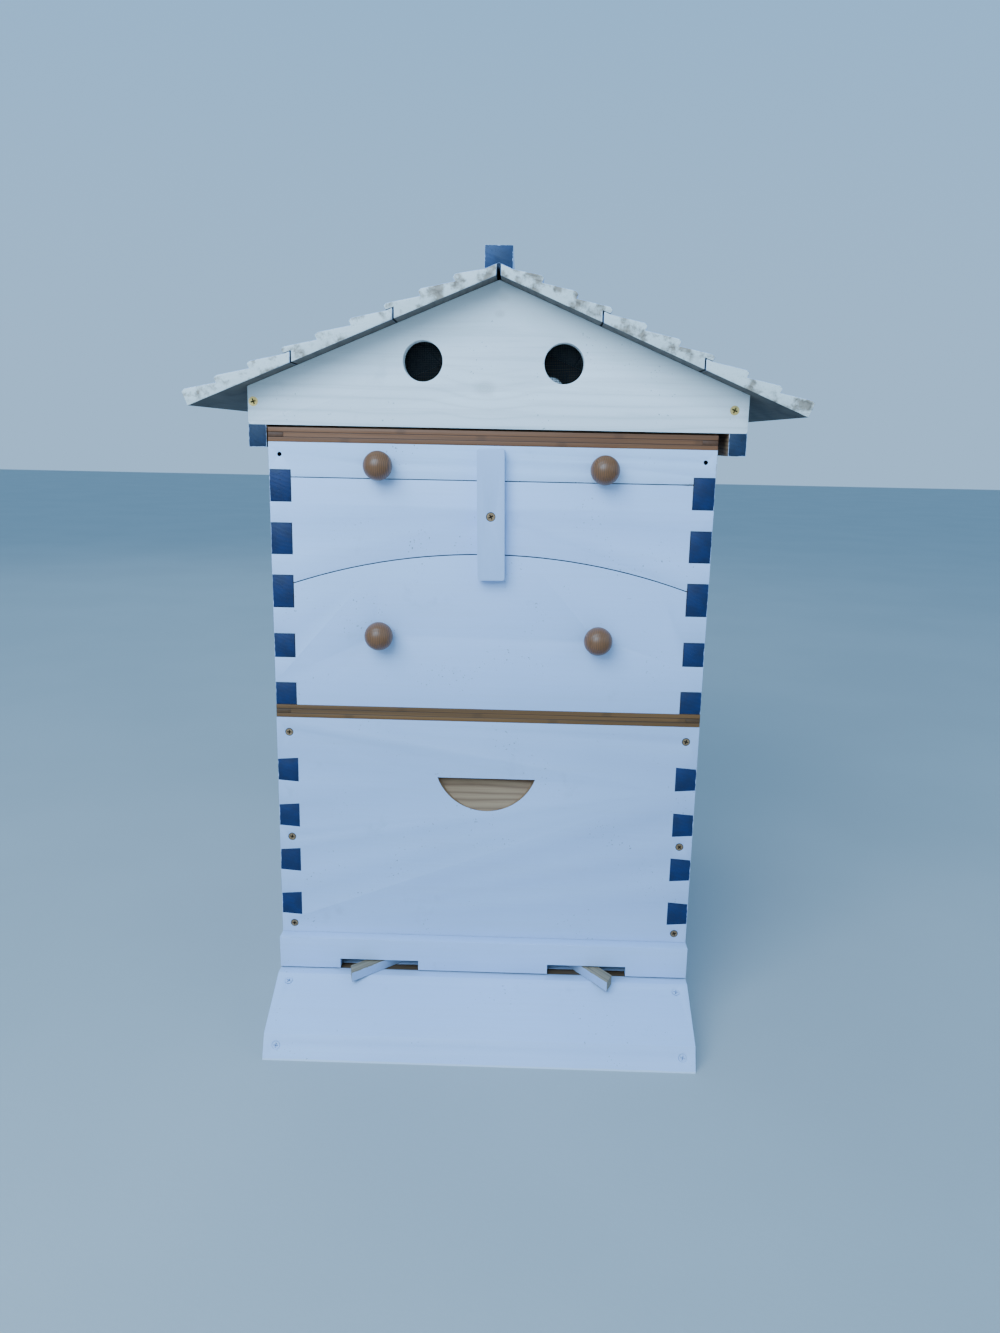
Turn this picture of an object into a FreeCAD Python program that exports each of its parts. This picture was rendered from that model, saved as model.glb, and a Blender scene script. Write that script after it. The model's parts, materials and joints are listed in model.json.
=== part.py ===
import FreeCAD, Part
import math
import os
import re

import Sketcher
from FreeCAD import Placement, Rotation, Vector

# Beehive: a stack of wooden boxes on a base with a landing board, under a gabled roof.
# Millimetres, +Z up, front towards -Y, origin under the middle of the bounding box.

SIZES = {
    # the stack of boxes
    "box_width": 406,
    "box_length": 507,
    "wall": 20,
    "base_height": 64,
    "brood_height": 244.2,
    "excluder_height": 12.6,
    "super_height": 246.2,
    "cover_height": 13,
    "slip_gap": 0.4,
    # base, entrance and landing board
    "deck_height": 50.5,
    "deck_depth": 23,
    "plank_thick": 18,
    "nose_height": 22,
    "nose_reach": 84,
    "landing_reach": 93.7,
    "deck_screw_ahead": 8,
    "nose_screw_share": 0.44,
    "plank_screw_length": 23,
    "rail_thick": 13,
    "rail_bottom": 52,
    "rail_lap": 19.8,
    "slot_width": 78.2,
    "slot_height": 10,
    "slot_offset": 103.6,
    "gate_end_gap": 0.8,
    "gate_proud": 0.1,
    "gate_bevel": 7.5,
    "gate_head_gap": 1.6,
    "gate_left_angle": 43,
    "gate_right_angle": 52,
    "gate_pin_radius": 2,
    "gate_pin_grip": 12,
    "pin_clearance": 0.1,
    "mesh_height": 44,
    "mesh_thick": 1,
    "tray_level": 20,
    "tray_thick": 5,
    "tray_side_gap": 2,
    "tray_mouth_gap": 1.5,
    "tray_end_gap": 4,
    "tray_lip": 12,
    "tray_lip_height": 18,
    "runner_width": 10,
    "runner_height": 8,
    # brood box
    "pin_top_margin": 52.9,
    "pin_bottom_margin": 50.6,
    "pin_outer_tall": 21.4,
    "pin_inner_tall": 24.4,
    "rebate_depth": 10,
    "rebate_tall": 17,
    "handhold_width": 95,
    "handhold_tall": 33.7,
    "handhold_depth": 13,
    "handhold_toe": 1.6,
    "handhold_drop": 56.9,
    # brood frames
    "frame_side_space": 8,
    "end_bar_space": 1,
    "bee_space": 8,
    "top_bar_tall": 19,
    "lug_tall": 10,
    "lug_gap": 2.5,
    "end_bar_thick": 9.5,
    "frame_foot_gap": 5.2,
    "end_bar_gap": 7,
    "bottom_bar_tall": 9.5,
    "foundation_thick": 3,
    # wood screws
    "screw_head_radius": 4,
    "screw_shank_radius": 2,
    "screw_head_tall": 2.6,
    "screw_length": 38,
    "screw_gap": 0.1,
    "screw_edge": 12,
    "brood_screw_first": 14.8,
    "brood_screw_second": 122.5,
    "brood_screw_last": 28.9,
    # queen excluder
    "excluder_rail": 20,
    "tenon_width": 14,
    "tenon_tall": 4.2,
    "grid_thick": 1.6,
    "grid_slot": 4.2,
    "grid_web": 2.4,
    "grid_bridge": 8,
    # honey super
    "finger_top_margin": 39.05,
    "finger_1_tall": 29.3,
    "finger_2_tall": 29.4,
    "finger_3_tall": 30.9,
    "finger_4_tall": 23,
    "finger_5_tall": 22,
    "finger_2_drift": -0.8,
    "finger_3_drift": -0.7,
    "finger_4_drift": 2,
    "key_strip_tall": 30.8,
    "key_strip_thick": 9.5,
    "peg_hole_radius": 2,
    "peg_hole_drop": 11,
    "peg_hole_inset": 10,
    "kerf": 0.8,
    "arch_spring": 128.6,
    "arch_crown": 98.5,
    "arch_side_gap": 1,
    "knob_offset": 102,
    "knob_upper_drop": 19.3,
    "knob_lower_drop": 175,
    "knob_radius": 13.3,
    "knob_length": 25,
    "knob_neck_radius": 6,
    "knob_neck_length": 5,
    "knob_peg_radius": 4,
    "knob_peg_length": 9,
    "toggle_width": 25,
    "toggle_length": 118.4,
    "toggle_thick": 11,
    "toggle_tilt": 1.1,
    "toggle_shift": 1.2,
    "toggle_corner": 2.5,
    "toggle_screw_drop": 62.8,
    "toggle_screw_side": 0.4,
    "toggle_screw_head_radius": 4.4,
    "toggle_screw_grip": 16,
    "toggle_gap": 0.3,
    # honey frames
    "honey_side_space": 2.4,
    "honey_frame_space": 1.2,
    "honey_frame_top": 11,
    "honey_frame_foot": 8,
    "honey_plate_thick": 4,
    "honey_comb_inset": 2.5,
    "honey_comb_foot": 4,
    "honey_comb_top": 22,
    "honey_lug_gap": 1,
    # inner cover
    "cover_rail": 30,
    "cover_panel_thick": 6,
    # roof
    "roof_shift": 4,
    "roof_wall": 16,
    "roof_side_clearance": 5.3,
    "gable_gap": 2,
    "skirt_drop": 20,
    "gable_apex": 141.5,
    "eave_overhang": 45.7,
    "eave_tail": 3,
    "eave_level": 29.2,
    "roof_overhang": 27.5,
    "step_lead": 0.4,
    "board_lip": 9,
    "board_root": 9.6,
    "board_root_rise": 0.2,
    "board_nose": 15.6,
    "nose_undercut": 2.2,
    "nose_round": 2.6,
    "nose_bevel": 1.56,
    "eave_nose": 5.2,
    "board_seam": 1.2,
    "ridge_gap": 3.5,
    "ridge_cap_width": 24,
    "ridge_cap_tall": 14,
    "vent_radius": 17.8,
    "vent_offset": 62.8,
    "vent_share": 0.5117,
    "vent_mesh_size": 46,
    "vent_mesh_thick": 0.8,
    "gable_foot_round": 2.6,
    "gable_screw_level": 35,
    "gable_screw_left": 5,
    "gable_screw_right": 12.6,
    "gable_screw_radius": 4.3,
    "gable_screw_length": 32,
    "cleat_width": 20,
    "cleat_tall": 18,
    "cleat_end_gap": 8,
}

BROOD_FRAMES = 10
HONEY_FRAMES = 7
BROOD_PINS = 4
SUPER_FINGERS = 5
STEPS_PER_BOARD = 3
BOARDS_PER_SIDE = 3
GRID_ROWS = 3
OVERCUT = 1

doc = FreeCAD.newDocument("beehive")
sheet = doc.addObject("Spreadsheet::Sheet", "Sizes")
for row, (alias, number) in enumerate(SIZES.items(), start=1):
    sheet.set(f"A{row}", alias.replace("_", " "))
    sheet.set(f"B{row}", str(number))
    sheet.setAlias(f"B{row}", alias)
doc.recompute()

PARTS = []


def formula(text):
    """A formula on the sheet's names, as FreeCAD's expressions want it."""
    def name(match):
        word = match.group(0)
        return "Sizes." + word if word in SIZES else word
    return re.sub(r"[a-z_][a-z_0-9]*", name, str(text))


def value(text):
    """The number that a formula gives now."""
    return float(sheet.evalExpression(formula(text)))


# places and levels that several pieces share, all in the part's frame
HIVE_X = "(0 - roof_shift)"
FRONT = "((landing_reach - box_length - roof_overhang) / 2)"
REAR = f"({FRONT} + box_length)"
HALF = "(box_width / 2)"
INNER = "(box_width / 2 - wall)"
INNER_LENGTH = "(box_length - 2 * wall)"
BASE_FRONT = f"({FRONT} - slip_gap)"
BROOD_LEVEL = "base_height"
BROOD_TOP = "(base_height + brood_height)"
EXCLUDER_TOP = f"({BROOD_TOP} + excluder_height)"
SUPER_TOP = f"({EXCLUDER_TOP} + super_height)"
COVER_TOP = f"({SUPER_TOP} + cover_height)"
GATE_Y = f"({BASE_FRONT} - rail_thick / 2)"
GATE_LEVEL = "(deck_height + slip_gap)"
ROOF_HALF = f"({HALF} + roof_side_clearance + roof_wall)"
EAVE = f"({ROOF_HALF} + eave_overhang)"
SLOPE = f"((gable_apex - eave_level) / {EAVE})"


def set_sizes(obj, **sizes):
    for prop, text in sizes.items():
        obj.setExpression(prop, formula(text))


def put(obj, x="0", y="0", z="0", turn=None):
    """Place an object: its base bound to the sheet, its turn fixed."""
    if turn is not None:
        obj.Placement = Placement(Vector(0, 0, 0), turn)
    for letter, text in zip("xyz", (x, y, z)):
        obj.setExpression(f"Placement.Base.{letter}", formula(text))
    return obj


def block(length, width, height, x="0", y="0", z="0"):
    """A rectangular block with its low corner at x, y, z."""
    obj = doc.addObject("Part::Box", "block")
    set_sizes(obj, Length=length, Width=width, Height=height)
    return put(obj, x, y, z)


def rod(radius, height, x="0", y="0", z="0", turn=None):
    obj = doc.addObject("Part::Cylinder", "rod")
    set_sizes(obj, Radius=radius, Height=height)
    return put(obj, x, y, z, turn)


def cut(base, *tools):
    """The base with every tool taken out of it."""
    for tool in tools:
        obj = doc.addObject("Part::Cut", "cut")
        obj.Base = base
        obj.Tool = tool
        base = obj
    return base


def fuse(*pieces):
    obj = doc.addObject("Part::MultiFuse", "fuse")
    obj.Shapes = list(pieces)
    obj.Refine = True
    return obj


def common(*pieces):
    obj = doc.addObject("Part::MultiCommon", "common")
    obj.Shapes = list(pieces)
    return obj


def group(pieces):
    """Like pieces that share a node, each still its own solid."""
    obj = doc.addObject("Part::Compound", "group")
    obj.Links = list(pieces)
    return obj


def part(label, obj):
    obj.Label = label
    PARTS.append(obj)
    return obj


def origin_plane(body, role):
    for feature in body.Origin.OriginFeatures:
        if feature.Role == role:
            return feature
    raise ValueError(role)


def outline(body, role, corners):
    """A closed sketch whose corners are bound to formulas."""
    sketch = body.newObject("Sketcher::SketchObject", "outline")
    sketch.AttachmentSupport = [(origin_plane(body, role), "")]
    sketch.MapMode = "FlatFace"
    points = [Vector(value(a), value(b), 0) for a, b in corners]
    for here, there in zip(points, points[1:] + points[:1]):
        sketch.addGeometry(Part.LineSegment(here, there), False)
    count = len(points)
    for index in range(count):
        sketch.addConstraint(Sketcher.Constraint("Coincident", index, 2, (index + 1) % count, 1))
    for index, (point, corner) in enumerate(zip(points, corners)):
        for kind, number, text in (("DistanceX", point.x, corner[0]), ("DistanceY", point.y, corner[1])):
            if abs(number) < 1e-9:
                axis = -2 if kind == "DistanceX" else -1
                sketch.addConstraint(Sketcher.Constraint("PointOnObject", index, 1, axis))
                continue
            where = sketch.addConstraint(Sketcher.Constraint(kind, -1, 1, index, 1, number))
            sketch.setExpression(f"Constraints[{where}]", formula(text))
    return sketch


def prism(role, corners, depth, rounds=(), radius=None):
    """An outline padded away from its plane; rounds lists the corners to round."""
    body = doc.addObject("PartDesign::Body", "prism")
    sketch = outline(body, role, corners)
    pad = body.newObject("PartDesign::Pad", "pad")
    pad.Profile = sketch
    pad.setExpression("Length", formula(depth))
    pad.Reversed = role == "XZ_Plane"
    sketch.Visibility = False
    doc.recompute()
    if rounds:
        round_corners(body, pad, role, [corners[index] for index in rounds], radius)
    return body


def round_corners(body, pad, role, corners, radius):
    wanted = [(value(a), value(b)) for a, b in corners]
    names = []
    for number, edge in enumerate(pad.Shape.Edges, start=1):
        ends = [flat(role, vertex.Point) for vertex in edge.Vertexes]
        if len(ends) == 2 and math.dist(*ends) < 1e-6:
            if any(math.dist(ends[0], corner) < 1e-6 for corner in wanted):
                names.append(f"Edge{number}")
    fillet = body.newObject("PartDesign::Fillet", "fillet")
    fillet.Base = (pad, names)
    fillet.setExpression("Radius", formula(radius))
    doc.recompute()


def flat(role, point):
    if role == "XZ_Plane":
        return point.x, point.z
    if role == "YZ_Plane":
        return point.y, point.z
    return point.x, point.y


def wood_screw(head_radius, length, gap="0"):
    """A countersunk screw along +Z from z = 0, its head at the bottom, grown by gap."""
    head = doc.addObject("Part::Cone", "head")
    set_sizes(head, Radius1=f"{head_radius} + {gap}", Radius2=f"screw_shank_radius + {gap}",
              Height="screw_head_tall")
    shank = rod(f"screw_shank_radius + {gap}", f"{length} + {gap}")
    return fuse(head, shank)


INTO_FRONT = Rotation(Vector(1, 0, 0), -90)
INTO_REAR = Rotation(Vector(1, 0, 0), 90)


# ---------------------------------------------------------------- base

FACET_SLOPE = "((deck_height - nose_height) / (nose_reach - deck_depth))"
PLANK_FLOOR = f"(deck_height - plank_thick / cos(atan({FACET_SLOPE})))"
PLANK_TOE = f"(deck_depth + {PLANK_FLOOR} / {FACET_SLOPE})"
FACET_TURN = math.atan(value(FACET_SLOPE))
NOSE_TURN = math.atan2(value("nose_height"), value("landing_reach - nose_reach"))

# distance ahead of the box, height and slope of the two screws at each side
PLANK_SCREWS = (
    ("deck_depth + deck_screw_ahead", f"deck_height - deck_screw_ahead * {FACET_SLOPE}", FACET_TURN),
    ("nose_reach + nose_screw_share * (landing_reach - nose_reach)",
     "nose_height * (1 - nose_screw_share)", NOSE_TURN),
)


def plank_screws(gap):
    """The four screws of the landing board, square to the facets they enter."""
    screws = []
    for side in (-1, 1):
        for ahead, level, slope in PLANK_SCREWS:
            screw = wood_screw("screw_head_radius", "plank_screw_length", gap)
            turn = Rotation(Vector(1, 0, 0), 180 + math.degrees(slope))
            side_x = f"{HIVE_X} + {side} * ({HALF} - screw_edge)"
            screws.append(put(screw, side_x, f"{FRONT} - ({ahead})", level, turn))
    return screws


def base_side(side):
    corners = [
        (f"{FRONT} - {PLANK_TOE}", "0"),
        (f"{FRONT} - deck_depth", PLANK_FLOOR),
        (BASE_FRONT, PLANK_FLOOR),
        (BASE_FRONT, "base_height"),
        (REAR, "base_height"),
        (REAR, "0"),
    ]
    side_x = f"{HIVE_X} + {INNER}" if side > 0 else f"{HIVE_X} - {HALF}"
    blank = put(prism("YZ_Plane", corners, "wall"), side_x)
    return cut(blank, *plank_screws("screw_gap"))


part("base_side_left", base_side(-1))
part("base_side_right", base_side(1))
part("base_front_rail", block(f"2 * {INNER}", "wall", "deck_height", f"{HIVE_X} - {INNER}", BASE_FRONT))

rear_rail = block(f"2 * {INNER}", "wall", "base_height", f"{HIVE_X} - {INNER}", f"{REAR} - wall")
tray_mouth = block(f"2 * ({INNER} - tray_side_gap / 2)", f"wall + 2 * {OVERCUT}",
                   "tray_thick + 2 * tray_mouth_gap", f"{HIVE_X} - {INNER} + tray_side_gap / 2",
                   f"{REAR} - wall - {OVERCUT}", "tray_level - tray_mouth_gap")
part("base_rear_rail", cut(rear_rail, tray_mouth))

plank_corners = [
    (BASE_FRONT, PLANK_FLOOR),
    (BASE_FRONT, "deck_height"),
    (f"{FRONT} - deck_depth", "deck_height"),
    (f"{FRONT} - nose_reach", "nose_height"),
    (f"{FRONT} - landing_reach", "0"),
    (f"{FRONT} - {PLANK_TOE}", "0"),
    (f"{FRONT} - deck_depth", PLANK_FLOOR),
]
plank = put(prism("YZ_Plane", plank_corners, "box_width"), f"{HIVE_X} - {HALF}")


def gate_pin(side, gap):
    """The pin that a gate turns on, from the plank up into the rail."""
    return rod(f"gate_pin_radius + {gap}", "gate_pin_grip * 2 + slot_height + rail_bottom - deck_height",
               f"{HIVE_X} + {side} * slot_offset", GATE_Y, "deck_height - gate_pin_grip")


pin_bores = [gate_pin(side, "screw_gap") for side in (-1, 1)]
part("landing_board", cut(plank, *plank_screws("screw_gap"), *pin_bores))
part("landing_board_screws", group(plank_screws("0")))
part("gate_pins", group([gate_pin(side, "0") for side in (-1, 1)]))

rail = block("box_width", "rail_thick", "base_height + rail_lap - rail_bottom",
             f"{HIVE_X} - {HALF}", f"{BASE_FRONT} - rail_thick", "rail_bottom")
slots = [
    block("slot_width", f"rail_thick + 2 * {OVERCUT}", f"slot_height + {OVERCUT}",
          f"{HIVE_X} + {side} * slot_offset - slot_width / 2",
          f"{BASE_FRONT} - rail_thick - {OVERCUT}", f"rail_bottom - {OVERCUT}")
    for side in (-1, 1)
]
part("entrance_rail", cut(rail, *slots, *pin_bores))


def gate(side, angle):
    """A strip with slanted ends that turns on a pin through its middle."""
    end = "(slot_width / 2 - gate_end_gap)"
    slant = f"({end} - gate_bevel)"
    half = "(rail_thick / 2 + gate_proud)"
    height = "(rail_bottom + slot_height - gate_head_gap - deck_height - slip_gap)"
    corners = [
        (f"{side} * {end}", f"0 - {half}"),
        (f"0 - {side} * {slant}", f"0 - {half}"),
        (f"0 - {side} * {end}", half),
        (f"{side} * {slant}", half),
    ]
    strip = prism("XY_Plane", corners, height)
    bored = cut(strip, rod("gate_pin_radius + pin_clearance", f"{height} + 2 * {OVERCUT}",
                           z=f"0 - {OVERCUT}"))
    return put(bored, f"{HIVE_X} + {side} * slot_offset", GATE_Y, GATE_LEVEL,
               Rotation(Vector(0, 0, 1), -side * value(angle)))


part("entrance_gate_left", gate(-1, "gate_left_angle"))
part("entrance_gate_right", gate(1, "gate_right_angle"))

part("floor_mesh", block(f"2 * {INNER}", f"{INNER_LENGTH} + slip_gap", "mesh_thick",
                         f"{HIVE_X} - {INNER}", f"{BASE_FRONT} + wall", "mesh_height"))
part("tray_runners", group([
    block("runner_width", f"{INNER_LENGTH} + slip_gap", "runner_height", x, f"{BASE_FRONT} + wall",
          "tray_level - runner_height")
    for x in (f"{HIVE_X} - {INNER}", f"{HIVE_X} + {INNER} - runner_width")
]))
TRAY_HALF = f"({INNER} - tray_side_gap)"
tray_board = block(f"2 * {TRAY_HALF}", f"{INNER_LENGTH} + wall - tray_end_gap", "tray_thick",
                   f"{HIVE_X} - {TRAY_HALF}", f"{FRONT} + wall + tray_end_gap", "tray_level")
tray_lip = block(f"2 * {TRAY_HALF}", "tray_lip", "tray_lip_height",
                 f"{HIVE_X} - {TRAY_HALF}", REAR, "tray_level + tray_thick - tray_lip_height")
part("floor_tray", fuse(tray_board, tray_lip))


# ---------------------------------------------------------------- brood box

def dovetail(index, side, y, depth):
    """One dovetail pin of a side board: wider inside, at one end of the board."""
    pitch = f"(brood_height - pin_top_margin - pin_bottom_margin) / {BROOD_PINS - 1}"
    middle = f"({BROOD_TOP} - pin_top_margin - {index} * {pitch})"
    corners = [
        (f"{side} * {INNER}", f"{middle} - pin_inner_tall / 2"),
        (f"{side} * {HALF}", f"{middle} - pin_outer_tall / 2"),
        (f"{side} * {HALF}", f"{middle} + pin_outer_tall / 2"),
        (f"{side} * {INNER}", f"{middle} + pin_inner_tall / 2"),
    ]
    return put(prism("XZ_Plane", corners, depth), HIVE_X, y)


def dovetails(side, y, depth):
    return [dovetail(index, side, y, depth) for index in range(BROOD_PINS)]


def brood_screws(gap):
    """Three screws at each corner of the front and rear boards."""
    screws = []
    for side in (-1, 1):
        side_x = f"{HIVE_X} + {side} * ({HALF} - screw_edge)"
        for level in (f"{BROOD_TOP} - brood_screw_first", f"{BROOD_TOP} - brood_screw_second",
                      "base_height + brood_screw_last"):
            front = wood_screw("screw_head_radius", "screw_length", gap)
            rear = wood_screw("screw_head_radius", "screw_length", gap)
            screws.append(put(front, side_x, FRONT, level, INTO_FRONT))
            screws.append(put(rear, side_x, REAR, level, INTO_REAR))
    return screws


def scoop(x, y, top, turn):
    """A half-moon finger scoop: flat top, round toe, its floor deepest at the top."""
    radius = "((handhold_width / 2) ^ 2 + handhold_tall ^ 2) / (2 * handhold_tall)"
    disc = rod(radius, f"handhold_depth + 2 * {OVERCUT}", y=f"0 - {OVERCUT}",
               z=f"{radius} - handhold_tall", turn=INTO_FRONT)
    corners = [
        (f"0 - {OVERCUT}", "0"),
        ("handhold_depth", "0"),
        ("handhold_toe", "0 - handhold_tall"),
        (f"0 - {OVERCUT}", "0 - handhold_tall"),
    ]
    wedge = put(prism("YZ_Plane", corners, f"handhold_width + 2 * {OVERCUT}"),
                f"0 - handhold_width / 2 - {OVERCUT}")
    return put(common(disc, wedge), x, y, top, turn)


HAND_LEVEL = f"({BROOD_TOP} - handhold_drop)"
REAR_TURN = Rotation(Vector(0, 0, 1), 180)
LEFT_TURN = Rotation(Vector(0, 0, 1), -90)
RIGHT_TURN = Rotation(Vector(0, 0, 1), 90)


def end_board(y, inner_y, level, height, tools):
    """A front or rear board: full width, notched for the side boards, rebated for the frames."""
    board = block("box_width", "wall", height, f"{HIVE_X} - {HALF}", y, level)
    rebate = block(f"2 * {INNER}", "rebate_depth", f"rebate_tall + {OVERCUT}",
                   f"{HIVE_X} - {INNER}", inner_y, f"{level} + {height} - rebate_tall")
    return cut(board, rebate, *tools)


def brood_side(side):
    x = f"{HIVE_X} + {INNER}" if side > 0 else f"{HIVE_X} - {HALF}"
    board = block("wall", INNER_LENGTH, "brood_height", x, f"{FRONT} + wall", BROOD_LEVEL)
    whole = fuse(board, *dovetails(side, FRONT, "wall"), *dovetails(side, f"{REAR} - wall", "wall"))
    hand = scoop(f"{HIVE_X} + {side} * {HALF}", f"({FRONT} + {REAR}) / 2", HAND_LEVEL,
                 RIGHT_TURN if side > 0 else LEFT_TURN)
    return cut(whole, hand, *brood_screws("screw_gap"))


def corner_dovetails(y):
    return dovetails(-1, y, "wall") + dovetails(1, y, "wall")


front_scoop = scoop(HIVE_X, FRONT, HAND_LEVEL, Rotation())
rear_scoop = scoop(HIVE_X, REAR, HAND_LEVEL, REAR_TURN)
part("brood_front", end_board(FRONT, f"{FRONT} + wall - rebate_depth", BROOD_LEVEL, "brood_height",
                              corner_dovetails(FRONT) + [front_scoop] + brood_screws("screw_gap")))
part("brood_rear", end_board(f"{REAR} - wall", f"{REAR} - wall", BROOD_LEVEL, "brood_height",
                             corner_dovetails(f"{REAR} - wall") + [rear_scoop] + brood_screws("screw_gap")))
part("brood_side_left", brood_side(-1))
part("brood_side_right", brood_side(1))
part("brood_screws", group(brood_screws("0")))

LEDGE = f"({BROOD_TOP} - rebate_tall)"
BAR_TOP = f"({LEDGE} + lug_tall)"
END_BAR_Y = f"({FRONT} + wall + end_bar_gap)"
END_BAR_SPAN = f"({INNER_LENGTH} - 2 * end_bar_gap)"
FRAME_FOOT = "(base_height + frame_foot_gap)"
BELOW_TOP_BAR = f"({BAR_TOP} - top_bar_tall - {FRAME_FOOT})"
FRAME_PITCH = f"(2 * ({INNER} - frame_side_space) / {BROOD_FRAMES})"
END_BAR_WIDTH = f"({FRAME_PITCH} - end_bar_space)"
TOP_BAR_WIDTH = f"({FRAME_PITCH} - bee_space)"


def frame_x(index):
    return f"({HIVE_X} + ({index} - {(BROOD_FRAMES - 1) / 2}) * {FRAME_PITCH})"


def top_bar(index):
    """The bar that a frame hangs from, with a thinner lug at each end."""
    start = f"({FRONT} + wall - rebate_depth + lug_gap)"
    stop = f"({REAR} - wall + rebate_depth - lug_gap)"
    corners = [
        (start, LEDGE),
        (start, BAR_TOP),
        (stop, BAR_TOP),
        (stop, LEDGE),
        (f"{END_BAR_Y} + {END_BAR_SPAN}", LEDGE),
        (f"{END_BAR_Y} + {END_BAR_SPAN}", f"{BAR_TOP} - top_bar_tall"),
        (END_BAR_Y, f"{BAR_TOP} - top_bar_tall"),
        (END_BAR_Y, LEDGE),
    ]
    return put(prism("YZ_Plane", corners, TOP_BAR_WIDTH), f"{frame_x(index)} - {TOP_BAR_WIDTH} / 2")


def end_bars(index):
    return [
        block(END_BAR_WIDTH, "end_bar_thick", BELOW_TOP_BAR, f"{frame_x(index)} - {END_BAR_WIDTH} / 2", y,
              FRAME_FOOT)
        for y in (END_BAR_Y, f"{END_BAR_Y} + {END_BAR_SPAN} - end_bar_thick")
    ]


def bottom_bar(index):
    return block(TOP_BAR_WIDTH, f"{END_BAR_SPAN} - 2 * end_bar_thick", "bottom_bar_tall",
                 f"{frame_x(index)} - {TOP_BAR_WIDTH} / 2", f"{END_BAR_Y} + end_bar_thick", FRAME_FOOT)


def foundation(index):
    return block("foundation_thick", f"{END_BAR_SPAN} - 2 * end_bar_thick",
                 f"{BELOW_TOP_BAR} - bottom_bar_tall",
                 f"{frame_x(index)} - foundation_thick / 2", f"{END_BAR_Y} + end_bar_thick",
                 f"{FRAME_FOOT} + bottom_bar_tall")


frames = range(BROOD_FRAMES)
part("brood_top_bars", group([top_bar(index) for index in frames]))
part("brood_end_bars", group([bar for index in frames for bar in end_bars(index)]))
part("brood_bottom_bars", group([bottom_bar(index) for index in frames]))
part("brood_foundation", group([foundation(index) for index in frames]))


# ---------------------------------------------------------------- framed boards

def tenon(side, y, level, height, rail_width):
    """A side rail's tongue, through the front or rear rail."""
    x = f"{HIVE_X} + {HALF} - tenon_width" if side > 0 else f"{HIVE_X} - {HALF}"
    return block("tenon_width", rail_width, "tenon_tall", x, y, f"{level} + ({height} - tenon_tall) / 2")


def framed_board(name, level, height, rail_width):
    """Two cross rails slotted at their ends and two side rails with a tongue at each end."""
    cross = []
    for y in (FRONT, f"{REAR} - {rail_width}"):
        rail_blank = block("box_width", rail_width, height, f"{HIVE_X} - {HALF}", y, level)
        tongues = [tenon(side, y, level, height, rail_width) for side in (-1, 1)]
        cross.append(cut(rail_blank, *tongues))
    sides = []
    for side in (-1, 1):
        x = f"{HIVE_X} + {HALF} - {rail_width}" if side > 0 else f"{HIVE_X} - {HALF}"
        bar = block(rail_width, f"box_length - 2 * {rail_width}", height,
                    x, f"{FRONT} + {rail_width}", level)
        tongues = [tenon(side, y, level, height, rail_width) for y in (FRONT, f"{REAR} - {rail_width}")]
        sides.append(fuse(bar, *tongues))
    part(f"{name}_cross_rails", group(cross))
    part(f"{name}_side_rails", group(sides))


framed_board("excluder", BROOD_TOP, "excluder_height", "excluder_rail")


def excluder_grid():
    """A flat sheet with rows of slots that a worker bee passes and a queen doesn't."""
    grid_width = value("box_width - 2 * excluder_rail")
    grid_length = value("box_length - 2 * excluder_rail")
    pitch = value("grid_slot + grid_web")
    bridge = value("grid_bridge")
    columns = int((grid_width - bridge) // pitch)
    slot_length = (grid_length - bridge) / GRID_ROWS - bridge
    outer = Part.makePlane(grid_width, grid_length)
    wires = [outer.OuterWire]
    first_x = (grid_width - columns * pitch + value("grid_web")) / 2
    for column in range(columns):
        for line in range(GRID_ROWS):
            corner = Vector(first_x + column * pitch, bridge + line * (slot_length + bridge), 0)
            wires.append(Part.makePlane(value("grid_slot"), slot_length, corner).OuterWire)
    face = Part.Face(wires, "Part::FaceMakerBullseye")
    grid = doc.addObject("Part::Feature", "excluder_grid")
    grid.Shape = face.extrude(Vector(0, 0, value("grid_thick")))
    low = (f"{HIVE_X} - {HALF} + excluder_rail", f"{FRONT} + excluder_rail",
           f"{BROOD_TOP} + (excluder_height - grid_thick) / 2")
    grid.Placement = Placement(Vector(*(value(text) for text in low)), Rotation())
    return grid


part("excluder_grid", excluder_grid())


# ---------------------------------------------------------------- honey super

def finger_middle(index):
    """The height of a finger's middle; the lowest finger ends at the board's lower edge."""
    pitch = f"(super_height - finger_top_margin - finger_5_tall / 2) / {SUPER_FINGERS - 1}"
    drift = f" - finger_{index + 1}_drift" if f"finger_{index + 1}_drift" in SIZES else ""
    return f"({SUPER_TOP} - finger_top_margin - {index} * {pitch}{drift})"


def fingers(side, y):
    """The square fingers at one end of a side board."""
    x = f"{HIVE_X} + {INNER}" if side > 0 else f"{HIVE_X} - {HALF}"
    return [
        block("wall", "wall", f"finger_{index + 1}_tall", x, y,
              f"{finger_middle(index)} - finger_{index + 1}_tall / 2")
        for index in range(SUPER_FINGERS)
    ]


def peg_holes():
    """The empty hole through each end of the key cover."""
    return [
        rod("peg_hole_radius", "wall", f"{HIVE_X} + {side} * ({HALF} - peg_hole_inset)",
            f"{FRONT} - {OVERCUT}", f"{SUPER_TOP} - peg_hole_drop", INTO_FRONT)
        for side in (-1, 1)
    ]


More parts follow.
